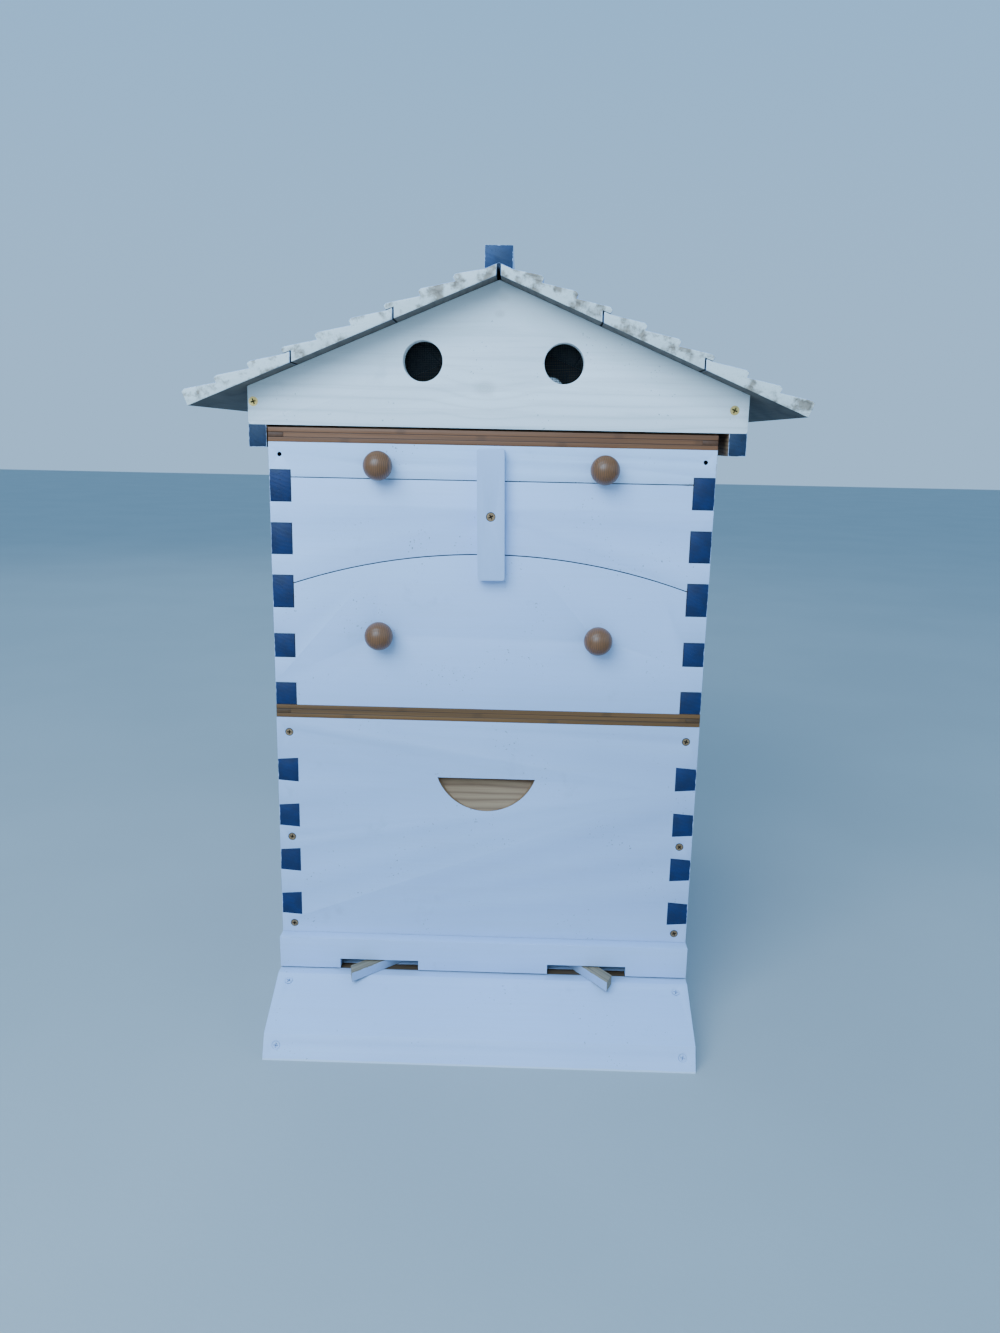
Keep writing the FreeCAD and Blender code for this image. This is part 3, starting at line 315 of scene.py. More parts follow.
class BoardFinish(Finish):
    """A finish that knows the box of its board, and so how far a point is from the arrises."""

    def __init__(self, node, along):
        super().__init__(node, along)
        low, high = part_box(node)
        gaps = [least(value - low[axis], high[axis] - value)
                for axis, value in enumerate((self.x, self.y, self.z))]
        # on a face one of the three distances is zero, so the middle one of the three is the way to the nearest
        # arris
        self.edge = most(least(gaps[0], gaps[1]), least(most(gaps[0], gaps[1]), gaps[2]))
        self.arris = self.add("ShaderNodeAttribute", {"attribute_name": "arris"}, output="Fac")

    def paint(self, tone, thin=0.0):
        """Brushed semi-gloss paint: (colour, roughness, height). thin lets the grain through."""
        paint, timber = coats()
        brush = self.noise(9, 420, detail=3)
        grain = self.noise(5, 150, detail=5, rough=0.6, bend=0.5)
        cloud = self.noise(7, detail=3)
        base = self.mix(self.fade(cloud, 0.3, 0.7), shaded(tone, 0.955), tone)
        base = self.mix(self.fade(brush, 0.35, 0.75) * 0.10, base, shaded(tone, 0.82))
        ring = self.fade(grain, 0.50, 0.62) * self.fade(grain, 0.74, 0.62)
        base = self.mix(ring * (0.05 + 0.35 * thin), base, shaded(paint.cream, 0.62))
        smudge = self.fade(self.noise(22, detail=7, rough=0.65), 0.60, 0.74)
        base = self.mix(smudge * 0.13, base, paint.dirt)
        speck = self.fade(self.noise(560, detail=0), 0.79, 0.82) * self.fade(self.noise(18), 0.52, 0.64)
        scratch = self.fade(self.noise(60, 900, detail=1), 0.80, 0.85)
        scratch = scratch * self.fade(self.noise(15), 0.60, 0.68)
        base = self.mix(least(speck + scratch, 1.0) * 0.62, base, paint.dirt)
        ragged = self.edge + (self.noise(260, detail=4) - 0.5) * (3.4 * MM)
        rubbed = self.fade(self.noise(16), 0.74 - 0.22 * paint.wear, 0.80)
        worn = self.fade(ragged, 0.5 * MM, 0.1 * MM) * rubbed
        # the rounded arris faces are mixed towards a lighter tone: a painted highlight along the edges
        base = self.mix(self.arris * 0.35, base, tuple(min(1, part * 1.12) for part in tone))
        base = self.mix(worn * 0.8, base, shaded(timber.pine, 0.75))
        roughness = 0.92 - 0.72 * paint.gloss + brush * 0.10 + smudge * 0.18 + worn * 0.25
        height = brush * 0.35 + grain * (0.25 + 0.5 * thin) + self.noise(520, detail=1) * 0.18 - worn * 0.5
        return base, roughness, height

    def pine(self, early, late):
        """Planed pine, its rings round a pith outside the board: (colour, roughness, height)."""
        drift = (self.noise(3.5, 9, detail=2) - 0.5) * 0.030
        cross = [value for axis, value in enumerate((self.x, self.y, self.z)) if axis != self.along]
        radius = distance(cross[0] + drift, cross[1] + PITH + drift)
        ring = self.wave(radius * RINGS + self.noise(8, 40) * 1.6)
        fibre = self.noise(14, 700, detail=3)
        base = self.mix(calc("POWER", ring, 2.0) * 0.85, early, late)
        base = self.mix(self.fade(fibre, 0.45, 0.8) * 0.28, base, shaded(late, 0.9))
        base = self.mix(self.fade(self.noise(6, 20), 0.4, 0.75) * 0.22, base, shaded(early, 0.8))
        return base, 0.58 + fibre * 0.18, ring * 0.35 + fibre * 0.65

    def blue(self, tone):
        """Blue paint brushed on end grain: pores and rings show through it."""
        pore = self.fade(self.noise(60, 900, detail=1), 0.62, 0.74)
        ring = self.wave(self.z * 240 + self.x * 90 + self.noise(20, 60) * 2.2)
        patch = self.noise(26, 90, detail=4)
        base = self.mix(self.fade(patch, 0.3, 0.75), shaded(tone, 0.72), shaded(tone, 1.18))
        base = self.mix(calc("POWER", ring, 3.0) * 0.30, base, shaded(tone, 0.6))
        base = self.mix(pore * 0.55, base, shaded(tone, 0.25))
        return base, 0.50 + patch * 0.12, patch * 0.5 - pore * 0.6 + ring * 0.25

    def gap(self):
        """Unpainted wood between two boards, darkened nearly to black: painted shade in the seam."""
        dust = self.noise(300)
        dark = bpy.context.scene.hive_timber.gap
        return self.mix(dust * 0.4, shaded(dark, 0.6), dark), 0.85 + dust * 0.1, dust * 0.2

    def blend(self, mask, under, over):
        """One coat over another where the mask is 1: colours mix, numbers cross over."""
        base = self.mix(mask, under[0], over[0])
        roughness = under[1] * (1 - mask) + mask * over[1]
        height = under[2] * (1 - mask) + mask * over[2]
        return base, roughness, height


# the brood box is painted a shade darker than the rest: painted shade for its low place, further from the light
# above
BROOD_PAINTED_SHADE = 0.88
# a finger scoop's half width, height, drop from the top of its board, and depth
HAND_HALF = 48 * MM
HAND_TALL = 34.5 * MM
HAND_DROP = 56.9 * MM
HAND_DEPTH = 13.6 * MM
# round the turn button's screw, the wall of its hole is unpainted wood darkened as painted shade
SCREW_HOLE = 6 * MM


def painted_board(node, along, outward, hand=False, blue=None, tone=None, seam=None, arris=None):
    """A painted board of the stack, with what the maker left bare.

    outward is the (axis, sign) of the face outside, whose other side stays bare pine. hand is True
    where that face has a finger scoop. blue is "box" or "roof" where the end grain is blue. seam is "all"
    where every edge of the board lies against another one, "below" where only the lower ones are bare,
    "hole" where only the screw's hole is; these bare seam faces are darkened as painted shade.
    """
    paint, timber = coats()
    finish = BoardFinish(node, along)
    coat = finish.paint(tone or paint.white)
    bare = finish.pine(timber.pine, timber.pine_dark)
    axis, sign = outward
    low, high = (corner[axis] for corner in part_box(node))
    value = (finish.x, finish.y, finish.z)[axis]
    facing = (finish.nx, finish.ny, finish.nz)[axis]
    behind = high - value if sign > 0 else value - low
    if blue:
        outer = least(finish.x - LEFT_X, RIGHT_X - finish.x) if blue != "roof" else finish.edge
        ragged = outer + (finish.noise(180, detail=3) - 0.5) * (1.6 * MM)
        tone_blue = shaded(paint.old_blue, 0.5) if blue == "roof" else paint.blue
        ends = (abs(finish.ny) > 0.7) * finish.fade(ragged, 0.1 * MM, 0.5 * MM)
        coat = finish.blend(ends, coat, finish.blue(tone_blue))
        # the arrises round the blue ends, away from the outer corner, take the near-black seam coat: a painted
        # shadow line at the joint
        line = finish.arris * (abs(finish.ny) > 0.3) * finish.fade(outer, 1 * MM, 2 * MM)
        coat = finish.blend(line * 0.9, coat, finish.gap())
    if seam:
        # faces inside the seams and the hole take the near-black seam coat: painted shade between the parts
        raw_and_shade = finish.fade(behind, 0.12 * MM, 0.35 * MM) * (abs(facing) < 0.93)
        if seam == "below":
            raw_and_shade = raw_and_shade * (finish.nz < -0.5)
        elif seam == "hole":
            screw = Vector(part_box("toggle_screw")[0]).lerp(Vector(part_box("toggle_screw")[1]), 0.5)
            side = finish.x - screw.x
            up = finish.z - screw.z
            raw_and_shade = raw_and_shade * (distance(side, up) < SCREW_HOLE)
        else:
            beyond = least(finish.x - LEFT_X, RIGHT_X - finish.x) < 0.7 * MM
            raw_and_shade = raw_and_shade * (1 - beyond)
            coat = finish.blend(beyond * (abs(finish.nx) > 0.7), coat, finish.blue(paint.blue))
        coat = finish.blend(raw_and_shade, coat, finish.gap())
    inside = finish.fade(facing * -sign, 0.6, 0.8) * (least(value - low, high - value) < 0.5 * MM)
    coat = finish.blend(inside, coat, bare)
    if hand:
        across, middle = (finish.x, HIVE_X) if axis == Y else (finish.y, HIVE_Y)
        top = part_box(node)[1][Z] - HAND_DROP
        between = (finish.z < top + 0.2 * MM) * (finish.z > top - HAND_TALL)
        scoop = (abs(across - middle) < HAND_HALF) * (behind > 0.35 * MM) * (behind < HAND_DEPTH)
        coat = finish.blend(between * scoop, coat, bare)
    board(node, finish.done(*coat), arris or bpy.context.scene.hive_sizes.arris)


# ------------------------------------------------------------------ making pieces

def add_object(name, mesh, material):
    mesh.materials.clear()
    mesh.materials.append(material)
    obj = bpy.data.objects.new(name, mesh)
    bpy.context.scene.collection.objects.link(obj)
    return obj


def stand_in(name, mesh, material, node):
    """A finished piece in place of a node: it rides on the node's body."""
    obj = add_object(name, mesh, material)
    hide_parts(node)
    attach(obj, BODY_OF[node])


def smooth_mesh(mesh, angle=28):
    mesh.polygons.foreach_set("use_smooth", [True] * len(mesh.polygons))
    mesh.set_sharp_from_angle(angle=math.radians(angle))


def merged_copy(node):
    """A node's solids as one bmesh of whole faces instead of loose triangles."""
    shape = bmesh.new()
    shape.from_mesh(frame["nodes"][node].data)
    bmesh.ops.remove_doubles(shape, verts=shape.verts, dist=0.002 * MM)
    bmesh.ops.dissolve_limit(shape, angle_limit=math.radians(0.6), verts=shape.verts, edges=shape.edges)
    return shape


def board(node, material, arris):
    """A node's boards with rounded arrises; the new narrow faces carry the attribute "arris"."""
    shape = merged_copy(node)
    layer = shape.faces.layers.float.new("arris")
    sharp = [edge for edge in shape.edges
             if len(edge.link_faces) == 2 and edge.calc_face_angle() > math.radians(25)]
    rounded = bmesh.ops.bevel(shape, geom=sharp, offset=arris, offset_type="OFFSET", segments=2,
                              profile=0.5, affect="EDGES", clamp_overlap=True)
    for face in rounded["faces"]:
        face[layer] = 1.0
    mesh = bpy.data.meshes.new(node)
    shape.to_mesh(mesh)
    shape.free()
    smooth_mesh(mesh)
    stand_in(f"{node}_shaped", mesh, material, node)


def paint_node(node, material):
    """Give a carried-over node its material."""
    mesh = frame["nodes"][node].data
    mesh.materials.clear()
    mesh.materials.append(material)


def islands(node):
    """The separate solids of a node, each a list of its corners."""
    shape = merged_copy(node)
    left = set(shape.verts)
    groups = []
    while left:
        group = []
        stack = [left.pop()]
        while stack:
            corner = stack.pop()
            group.append(corner.co.copy())
            for edge in corner.link_edges:
                other = edge.other_vert(corner)
                if other in left:
                    left.remove(other)
                    stack.append(other)
        groups.append(group)
    shape.free()
    return sorted(groups, key=lambda group: tuple(round(part, 4) for part in middle_of(group)))


def middle_of(points):
    low = Vector(min(point[axis] for point in points) for axis in range(3))
    high = Vector(max(point[axis] for point in points) for axis in range(3))
    return (low + high) / 2


def turned(profile):
    """A closed turned shape about Z from a profile of (radius, height) points that starts and ends on Z."""
    steps = 48
    shape = bmesh.new()
    rings = []
    for radius, height in profile:
        if radius < 1e-7:
            rings.append([shape.verts.new((0, 0, height))])
            continue
        turns = (2 * math.pi * step / steps for step in range(steps))
        rings.append([shape.verts.new((radius * math.cos(turn), radius * math.sin(turn), height))
                      for turn in turns])
    for lower, upper in zip(rings, rings[1:]):
        for step in range(steps):
            after = (step + 1) % steps
            corners = [lower[step % len(lower)], lower[after % len(lower)],
                       upper[after % len(upper)], upper[step % len(upper)]]
            shape.faces.new(list(dict.fromkeys(corners)))
    bmesh.ops.recalc_face_normals(shape, faces=shape.faces)
    return shape


# ------------------------------------------------------------------ geometry node trees

class Shape(Tree):
    """A geometry node tree under construction, with its named inputs."""

    def __init__(self, name, **inputs):
        super().__init__(bpy.data.node_groups.new(name, "GeometryNodeTree"))
        face = self.tree.interface
        face.new_socket("Geometry", in_out="INPUT", socket_type="NodeSocketGeometry")
        for title, kind in inputs.items():
            face.new_socket(title.replace("_", " "), in_out="INPUT", socket_type=f"NodeSocket{kind}")
        face.new_socket("Geometry", in_out="OUTPUT", socket_type="NodeSocketGeometry")
        self.inputs = self.add("NodeGroupInput")

    def given(self, title):
        return self.inputs.out(title)

    def moved(self, geometry, **how):
        """The geometry with a Translation or a Rotation."""
        return self.add("GeometryNodeTransform", None, {"Geometry": geometry, **how})

    def placed(self, points, instance, **how):
        """The instance on each point, with a Rotation where it is given."""
        return self.add("GeometryNodeInstanceOnPoints", None,
                        {"Points": points, "Instance": instance, **how})

    def finish(self, geometry):
        """End in Realize Instances and Set Material."""
        real = self.add("GeometryNodeRealizeInstances", None, {"Geometry": geometry})
        painted = self.add("GeometryNodeSetMaterial", None,
                           {"Geometry": real, "Material": self.given("Material")})
        self.add("NodeGroupOutput", None, {"Geometry": painted})
        return self.tree


def screw_tree():
    """A cross-recessed countersunk screw on each point, its head looking along the point's aim."""
    shape = Shape("screws", Head_Radius="Float", Head_Height="Float", Shank_Radius="Float",
                  Length="Float", Recess="Float", Seed="Int", Material="Material")
    radius = shape.given("Head Radius")
    head = shape.add("GeometryNodeMeshCone", {"fill_type": "NGON"},
                     {"Vertices": 40, "Radius Top": radius, "Radius Bottom": shape.given("Shank Radius"),
                      "Depth": shape.given("Head Height")})
    head = shape.moved(head, Translation=shape.vector(Z=0.0 - shape.given("Head Height")))
    cutters = []
    for turn in (0, math.pi / 2):
        size = shape.vector(X=radius * 1.25, Y=radius * shape.given("Recess"), Z=radius * 0.9)
        bar = shape.moved(shape.add("GeometryNodeMeshCube", None, {"Size": size}), Rotation=(0, 0, turn))
        # the recess faces are tagged hollow, where the metal is given painted shade
        cutters.append(shape.add("GeometryNodeStoreNamedAttribute", {"domain": "FACE"},
                                 {"Geometry": bar, "Name": "hollow", "Value": 1.0}))
    head = shape.add("GeometryNodeMeshBoolean", {"operation": "DIFFERENCE"},
                     {"Mesh 1": head, "Mesh 2": cutters})
    shank = shape.add("GeometryNodeMeshCylinder", {"fill_type": "NGON"},
                      {"Vertices": 20, "Radius": shape.given("Shank Radius"),
                       "Depth": shape.given("Length") - shape.given("Head Height")})
    centre = (shape.given("Length") + shape.given("Head Height")) * 0.5
    shank = shape.moved(shank, Translation=shape.vector(Z=0.0 - centre))
    whole = shape.add("GeometryNodeJoinGeometry", None, {"Geometry": [head, shank]})
    aim = shape.add("GeometryNodeInputNamedAttribute", {"data_type": "FLOAT_VECTOR"}, {"Name": "aim"})
    upright = shape.add("FunctionNodeAlignRotationToVector", {"axis": "Z"}, {"Vector": aim})
    spin = shape.add("FunctionNodeRandomValue", {"data_type": "FLOAT"},
                     {2: 0.0, 3: math.pi / 2, "Seed": shape.given("Seed")}, output=1)
    spun = shape.add("FunctionNodeRotateRotation", {"rotation_space": "LOCAL"},
                     {"Rotation": upright, "Rotate By": shape.add(
                         "FunctionNodeAxisAngleToRotation", None, {"Axis": (0, 0, 1), "Angle": spin})})
    return shape.finish(shape.placed(shape.given("Geometry"), whole, Rotation=spun))


def cloth_tree():
    """A patch of wire cloth on each point: straight wires both ways, in the plane of its first two axes."""
    shape = Shape("wire cloth", Width="Float", Depth="Float", Pitch="Float", Wire_Radius="Float",
                  Turn="Rotation", Material="Material")
    radius = shape.given("Wire Radius")
    pitch = shape.given("Pitch")
    sheets = []
    for span, run, letter, turn, lift in (("Width", "Depth", "X", (math.pi / 2, 0, 0), 1.0),
                                          ("Depth", "Width", "Y", (0, math.pi / 2, 0), -1.0)):
        count = calc("FLOOR", shape.given(span) * calc("DIVIDE", 1.0, pitch))
        start = count * pitch * -0.5
        line = shape.add("GeometryNodeMeshLine", None, {
            "Count": count + 1.0, "Offset": shape.vector(**{letter: pitch}),
            "Start Location": shape.vector(**{letter: start, "Z": radius * lift})})
        wire = shape.add("GeometryNodeMeshCylinder", {"fill_type": "NGON"},
                         {"Vertices": 6, "Radius": radius, "Depth": shape.given(run)})
        sheets.append(shape.placed(line, shape.moved(wire, Rotation=turn)))
    patch = shape.add("GeometryNodeJoinGeometry", None, {"Geometry": sheets})
    return shape.finish(shape.placed(shape.given("Geometry"), patch, Rotation=shape.given("Turn")))


def grown(name, points, tree, settings, aims=None):
    """A plain mesh from a tree's modifier on a cloud of points."""
    cloud = bpy.data.meshes.new(f"{name}_points")
    cloud.from_pydata(points, [], [])
    if aims:
        attribute = cloud.attributes.new("aim", "FLOAT_VECTOR", "POINT")
        attribute.data.foreach_set("vector", [part for aim in aims for part in aim])
    carrier = bpy.data.objects.new(f"{name}_carrier", cloud)
    bpy.context.scene.collection.objects.link(carrier)
    modifier = carrier.modifiers.new("shape", "NODES")
    modifier.node_group = tree
    for item in tree.interface.items_tree:
        if item.in_out == "INPUT" and item.name in settings:
            modifier[item.identifier] = settings[item.name]
    graph = bpy.context.evaluated_depsgraph_get()
    mesh = bpy.data.meshes.new_from_object(carrier.evaluated_get(graph))
    carrier.modifiers.remove(modifier)
    bpy.data.objects.remove(carrier)
    mesh.name = name
    return mesh


def screw_places(node):
    """Where each screw's head ends and the way it looks, from the solids of a node."""
    places = []
    for corners in islands(node):
        middle = middle_of(corners)
        far = max(corners, key=lambda corner: (corner - middle).length)
        near = max(corners, key=lambda corner: (corner - far).length)
        way = (far - near).normalized()
        # the longest diagonal settles to the axis between the two end faces
        for _ in range(8):
            along = [(corner - middle).dot(way) for corner in corners]
            head = max(along)
            tip = min(along)
            heads = [corner for corner, place in zip(corners, along) if place > head - 0.6 * MM]
            tips = [corner for corner, place in zip(corners, along) if place < tip + 0.6 * MM]
            way = (middle_of(heads) - middle_of(tips)).normalized()
        spread = [max((corner - middle_of(group)).length for corner in group) for group in (heads, tips)]
        if spread[0] < spread[1]:
            heads, tips, way = tips, heads, -way
        places.append((middle_of(heads), way, max(spread), (middle_of(heads) - middle_of(tips)).length))
    return places


# ------------------------------------------------------------------ finishes that aren't boards

# a rail's tongue: half its thickness, and its length
TONGUE_HALF = 2.2 * MM
TONGUE_LONG = 14.2 * MM


def wood_knob():
    """Oiled turned wood: grain in arcs over the ball."""
    timber = bpy.context.scene.hive_timber
    finish = Finish("turned knob", Z)
    drift = (finish.noise(40, 90, detail=2) - 0.5) * 0.004
    side = finish.x + drift
    inward = finish.y - FRONT_Y + 0.030 + drift
    radius = distance(side, inward)
    ring = finish.wave(radius * 620 + finish.z * 30 + finish.noise(60, 160) * 0.9)
    fibre = finish.noise(90, 1500, detail=2)
    base = finish.mix(calc("POWER", ring, 1.6) * 0.75, shaded(timber.knob, 1.3), shaded(timber.knob, 0.42))
    base = finish.mix(finish.fade(fibre, 0.5, 0.8) * 0.45, base, shaded(timber.knob, 0.45))
    # towards the board the ball is mixed darker: painted shade where it turns away from the light and meets the
    # board
    rim = finish.fade(finish.y, FRONT_Y - 12 * MM, FRONT_Y - 2 * MM)
    base = finish.mix(rim * 0.6, base, shaded(timber.knob, 0.3))
    return finish.done(base, 0.36 + fibre * 0.15, ring * 0.3 + fibre * 0.5, depth=0.15,
                       coat_weight=0.15, coat_roughness=0.35)


def strip_frame(name, tone):
    """A frame of laminated strips, across and along the hive."""
    for place, along in (("cross", X), ("side", Y)):
        node = f"{name}_{place}_rails"
        board(node, strip_wood(node, tuple(tone), along), bpy.context.scene.hive_sizes.fine_arris)


def strip_wood(node, tone, along):
    """A laminated strip: three layers with dark lines between them, long fibres and knuckles."""
    finish = BoardFinish(node, along)
    low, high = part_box(node)
    level = (finish.z - low[Z]) * (3 / (high[Z] - low[Z])) + (finish.noise(6, 14) - 0.5) * 0.22
    seam = finish.fade(abs(calc("FRACT", level + 0.5) - 0.5), 0.10, 0.03)
    seam = seam * (finish.z > low[Z] + 1.4 * MM) * (finish.z < high[Z] - 1.4 * MM)
    layer = calc("FLOOR", level)
    fibre = finish.noise(12, 1300, detail=3, rough=0.6)
    streak = finish.noise(4, 260, detail=3)
    value = (finish.x, finish.y, finish.z)[along]
    knuckle = finish.fade(abs(calc("FRACT", value * 5.1 + layer * 0.37 + 0.2) - 0.5), 0.035, 0.008)
    base = finish.mix(finish.fade(streak, 0.3, 0.72), shaded(tone, 0.78), shaded(tone, 1.22))
    base = finish.mix(finish.fade(fibre, 0.48, 0.75) * 0.5, base, shaded(tone, 0.55))
    base = finish.mix(knuckle * 0.45, base, shaded(tone, 0.5))
    base = finish.mix(seam * 0.9, base, shaded(tone, 0.22))
    tongue = abs(finish.z - (low[Z] + high[Z]) / 2) < TONGUE_HALF
    tongue = tongue * (abs(finish.ny) > 0.7) * (abs(finish.x - HIVE_X) > RIGHT_X - HIVE_X - TONGUE_LONG)
    base = finish.mix(tongue * 0.7, base, shaded(tone, 0.36))
    return finish.done(base, 0.45 + fibre * 0.2, fibre * 0.6 + streak * 0.4 - seam, depth=0.25,
                       specular_ior_level=0.45)


def pine_board(node, along):
    """Boards of bare planed pine."""
    timber = bpy.context.scene.hive_timber
    finish = BoardFinish(node, along)
    coat = finish.pine(timber.pine, shaded(timber.pine_dark, 1.1))
    board(node, finish.done(*coat, depth=0.3), bpy.context.scene.hive_sizes.fine_arris)


def metal(name, tone, rough, patch_tone=None):
    """Metal with fine scratches and dull patches, and painted shade in a recess."""
    finish = Finish(name)
    fine = finish.noise(900, 180, detail=2)
    dull = finish.fade(finish.noise(220, detail=3), 0.42, 0.7)
    base = finish.mix(dull * 0.35, tone, patch_tone or shaded(tone, 0.45))
    # faces tagged hollow, the screws' cross recesses, are mixed nearly black: painted shade in the recess
    hollow = finish.add("ShaderNodeAttribute", {"attribute_name": "hollow"}, output="Fac")
    base = finish.mix(hollow * 0.9, base, (0.01, 0.008, 0.006))
    return finish.done(base, rough + fine * 0.2 + dull * 0.15, fine + dull * 0.5, depth=0.06, metallic=0.9)


def hexagons(finish, first, second, pitch):
    """The cells of a comb: 1 on the walls between hexagons of that pitch."""
    rows = math.sqrt(0.75)
    middles = []
    for shift in (0.0, 0.5):
        across = calc("FRACT", first * (1 / pitch) + shift + 100.0) - 0.5
        up = (calc("FRACT", second * (1 / pitch / rows / 2) + shift + 100.0) - 0.5) * (2 * rows)
        middles.append(distance(across, up))
    return finish.fade(least(*middles), 0.36, 0.50)


def wax_comb():
    """Embossed wax sheet in the brood frames."""
    finish = Finish("wax foundation", Y)
    wall = hexagons(finish, finish.y, finish.z, 5.3 * MM)
    tone = (0.62, 0.42, 0.12)
    base = finish.mix(finish.fade(finish.noise(14, detail=3), 0.3, 0.7), shaded(tone, 0.8), tone)
    base = finish.mix(wall * 0.4, base, (0.78, 0.60, 0.26))
    return finish.done(base, 0.42 + wall * 0.12, wall, depth=0.7)


def honey_plastic():
    """Milky plastic honey frame, its comb faces full of cells."""
    finish = Finish("honey frame plastic", Y)
    cells = hexagons(finish, finish.y, finish.z, 6.4 * MM) * (abs(finish.nx) > 0.7)
    haze = finish.noise(9, detail=4)
    base = finish.mix(finish.fade(haze, 0.3, 0.7), (0.70, 0.68, 0.58), (0.80, 0.79, 0.72))
    base = finish.mix(cells * 0.35, base, (0.86, 0.82, 0.68))
    amber = finish.fade(finish.noise(6, detail=2), 0.55, 0.72) * (abs(finish.nx) > 0.7)
    base = finish.mix(amber * (1 - cells) * 0.35, base, (0.62, 0.36, 0.08))
    return finish.done(base, 0.28 + haze * 0.15, cells + haze * 0.1, depth=1.2)


def plywood():
    finish = Finish("plywood panel", Y)
    figure = finish.wave(finish.x * 22 + finish.noise(2.2, 10, detail=3, bend=0.8) * 6.0)
    fibre = finish.noise(16, 700, detail=3)
    base = finish.mix(calc("POWER", figure, 3.0) * 0.45, (0.56, 0.38, 0.20), (0.40, 0.24, 0.11))
    base = finish.mix(finish.fade(fibre, 0.5, 0.8) * 0.4, base, (0.34, 0.20, 0.09))
    return finish.done(base, 0.5 + fibre * 0.2, fibre + figure * 0.3, depth=0.2)


def fluted_sheet():
    """White fluted plastic of the floor tray, with drips and dust."""
    finish = Finish("fluted tray", Y)
    flute = finish.wave(finish.x * 250)
    dust = finish.fade(finish.noise(30, detail=6, rough=0.65), 0.52, 0.72)
    base = finish.mix(dust * 0.35, (0.80, 0.81, 0.80), (0.50, 0.42, 0.30))
    base = finish.mix(calc("POWER", flute, 6.0) * 0.12, base, (0.55, 0.56, 0.56))
    return finish.done(base, 0.35 + dust * 0.25, flute * 0.5 + dust * 0.2, depth=0.3)


# ------------------------------------------------------------------ operators, one for each group of pieces

class HIVE_OT_base(bpy.types.Operator):
    """Finish the base: side rails, cross rails, landing board and entrance rail"""
    bl_idname = "hive.base"
    bl_label = "Base and landing board"

    def execute(self, context):
        for side, sign in SIDES:
            node = f"base_side_{side}"
            painted_board(node, Y, (X, sign))
        painted_board("base_front_rail", X, (Y, -1))
        painted_board("base_rear_rail", X, (Y, 1))
        board("landing_board", landing_paint("landing_board"), context.scene.hive_sizes.arris)
        painted_board("entrance_rail", X, (Y, -1), seam="below")
        return {"FINISHED"}


def landing_paint(node):
    """Landing board paint: rubbed by feet, thin along its lower edge; bare pine in painted shade below and inside.
    """
    paint, timber = coats()
    finish = BoardFinish(node, X)
    base, roughness, height = finish.paint(paint.white)
    corner = finish.fade(finish.x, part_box(node)[1][X] - 0.10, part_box(node)[1][X])
    low = finish.fade(finish.z, 20 * MM, 0)
    rub = finish.fade(finish.noise(45, 160, detail=6, rough=0.7), 0.60, 0.74) * corner * low
    base = finish.mix(rub * 0.5, base, paint.dirt)
    lip = finish.fade(finish.z + (finish.noise(30, 120) - 0.5) * (2 * MM), 2.2 * MM, 0.8 * MM)
    base = finish.mix(lip * 0.5, base, shaded(paint.cream, 0.9))
    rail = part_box("entrance_rail")[0][Y]
    # below the board and behind the entrance rail: bare pine darkened to 0.4, painted shade
    bare = most(finish.fade(finish.nz, -0.5, -0.8), finish.fade(finish.y, rail + 1 * MM, rail + 3 * MM))
    dark = finish.pine(shaded(timber.pine, 0.4), shaded(timber.pine_dark, 0.4))
    return finish.done(*finish.blend(bare, (base, roughness, height), dark))


class HIVE_OT_gates(bpy.types.Operator):
    """Finish the two entrance gates: painted on one long face, sawn elsewhere"""
    bl_idname = "hive.gates"
    bl_label = "Entrance gates"

    def execute(self, context):
        sizes = context.scene.hive_sizes
        for side, _ in SIDES:
            node = f"entrance_gate_{side}"
            joint = JOINTS[f"gate_{side}_turn"]
            turn = -math.radians(joint["range_deg"][0]) * joint["axis"][Z]
            board(node, gate_wood(node, turn), sizes.fine_arris)
        paint_node("gate_pins", metal("gate pin steel", (0.50, 0.50, 0.50), 0.32))
        return {"FINISHED"}


def gate_wood(node, turn):
    """Sawn pine, with paint on the long face that looks out of the entrance."""
    paint, timber = coats()
    finish = BoardFinish(node, X)
    along = finish.x * math.cos(turn) + finish.y * math.sin(turn)
    across = finish.y * math.cos(turn) - finish.x * math.sin(turn)
    out = finish.ny * math.cos(turn) - finish.nx * math.sin(turn)
    grain = finish.add("ShaderNodeTexNoise", None, {
        "Vector": finish.vector(X=along * 14, Y=across * 420, Z=finish.z * 420),
        "Scale": 1.0, "Detail": 4.0, "Roughness": 0.6})
    saw = finish.wave(along * 520 + finish.noise(40) * 1.5)
    # the sawn colour is partly darkened as painted shade for the gates in the slots; the grain and saw marks are
    # real
    base = finish.mix(finish.fade(grain, 0.35, 0.7), shaded(timber.sawn, 1.25), shaded(timber.sawn, 0.72))
    base = finish.mix(saw * 0.14, base, shaded(timber.sawn, 0.5))
    wood = (base, 0.75 + grain * 0.15, grain * 0.8 + saw * 0.2)
    low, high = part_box(node)
    brim = least(finish.z - low[Z], high[Z] - finish.z) + (finish.noise(240, detail=3) - 0.5) * (1.8 * MM)
    face = finish.fade(out, -0.6, -0.8) * finish.fade(brim, 0.05 * MM, 0.4 * MM)
    white = finish.paint(shaded(paint.white, 0.78))
    coat = finish.blend(face, wood, white)
    return finish.done(*coat, depth=0.4)


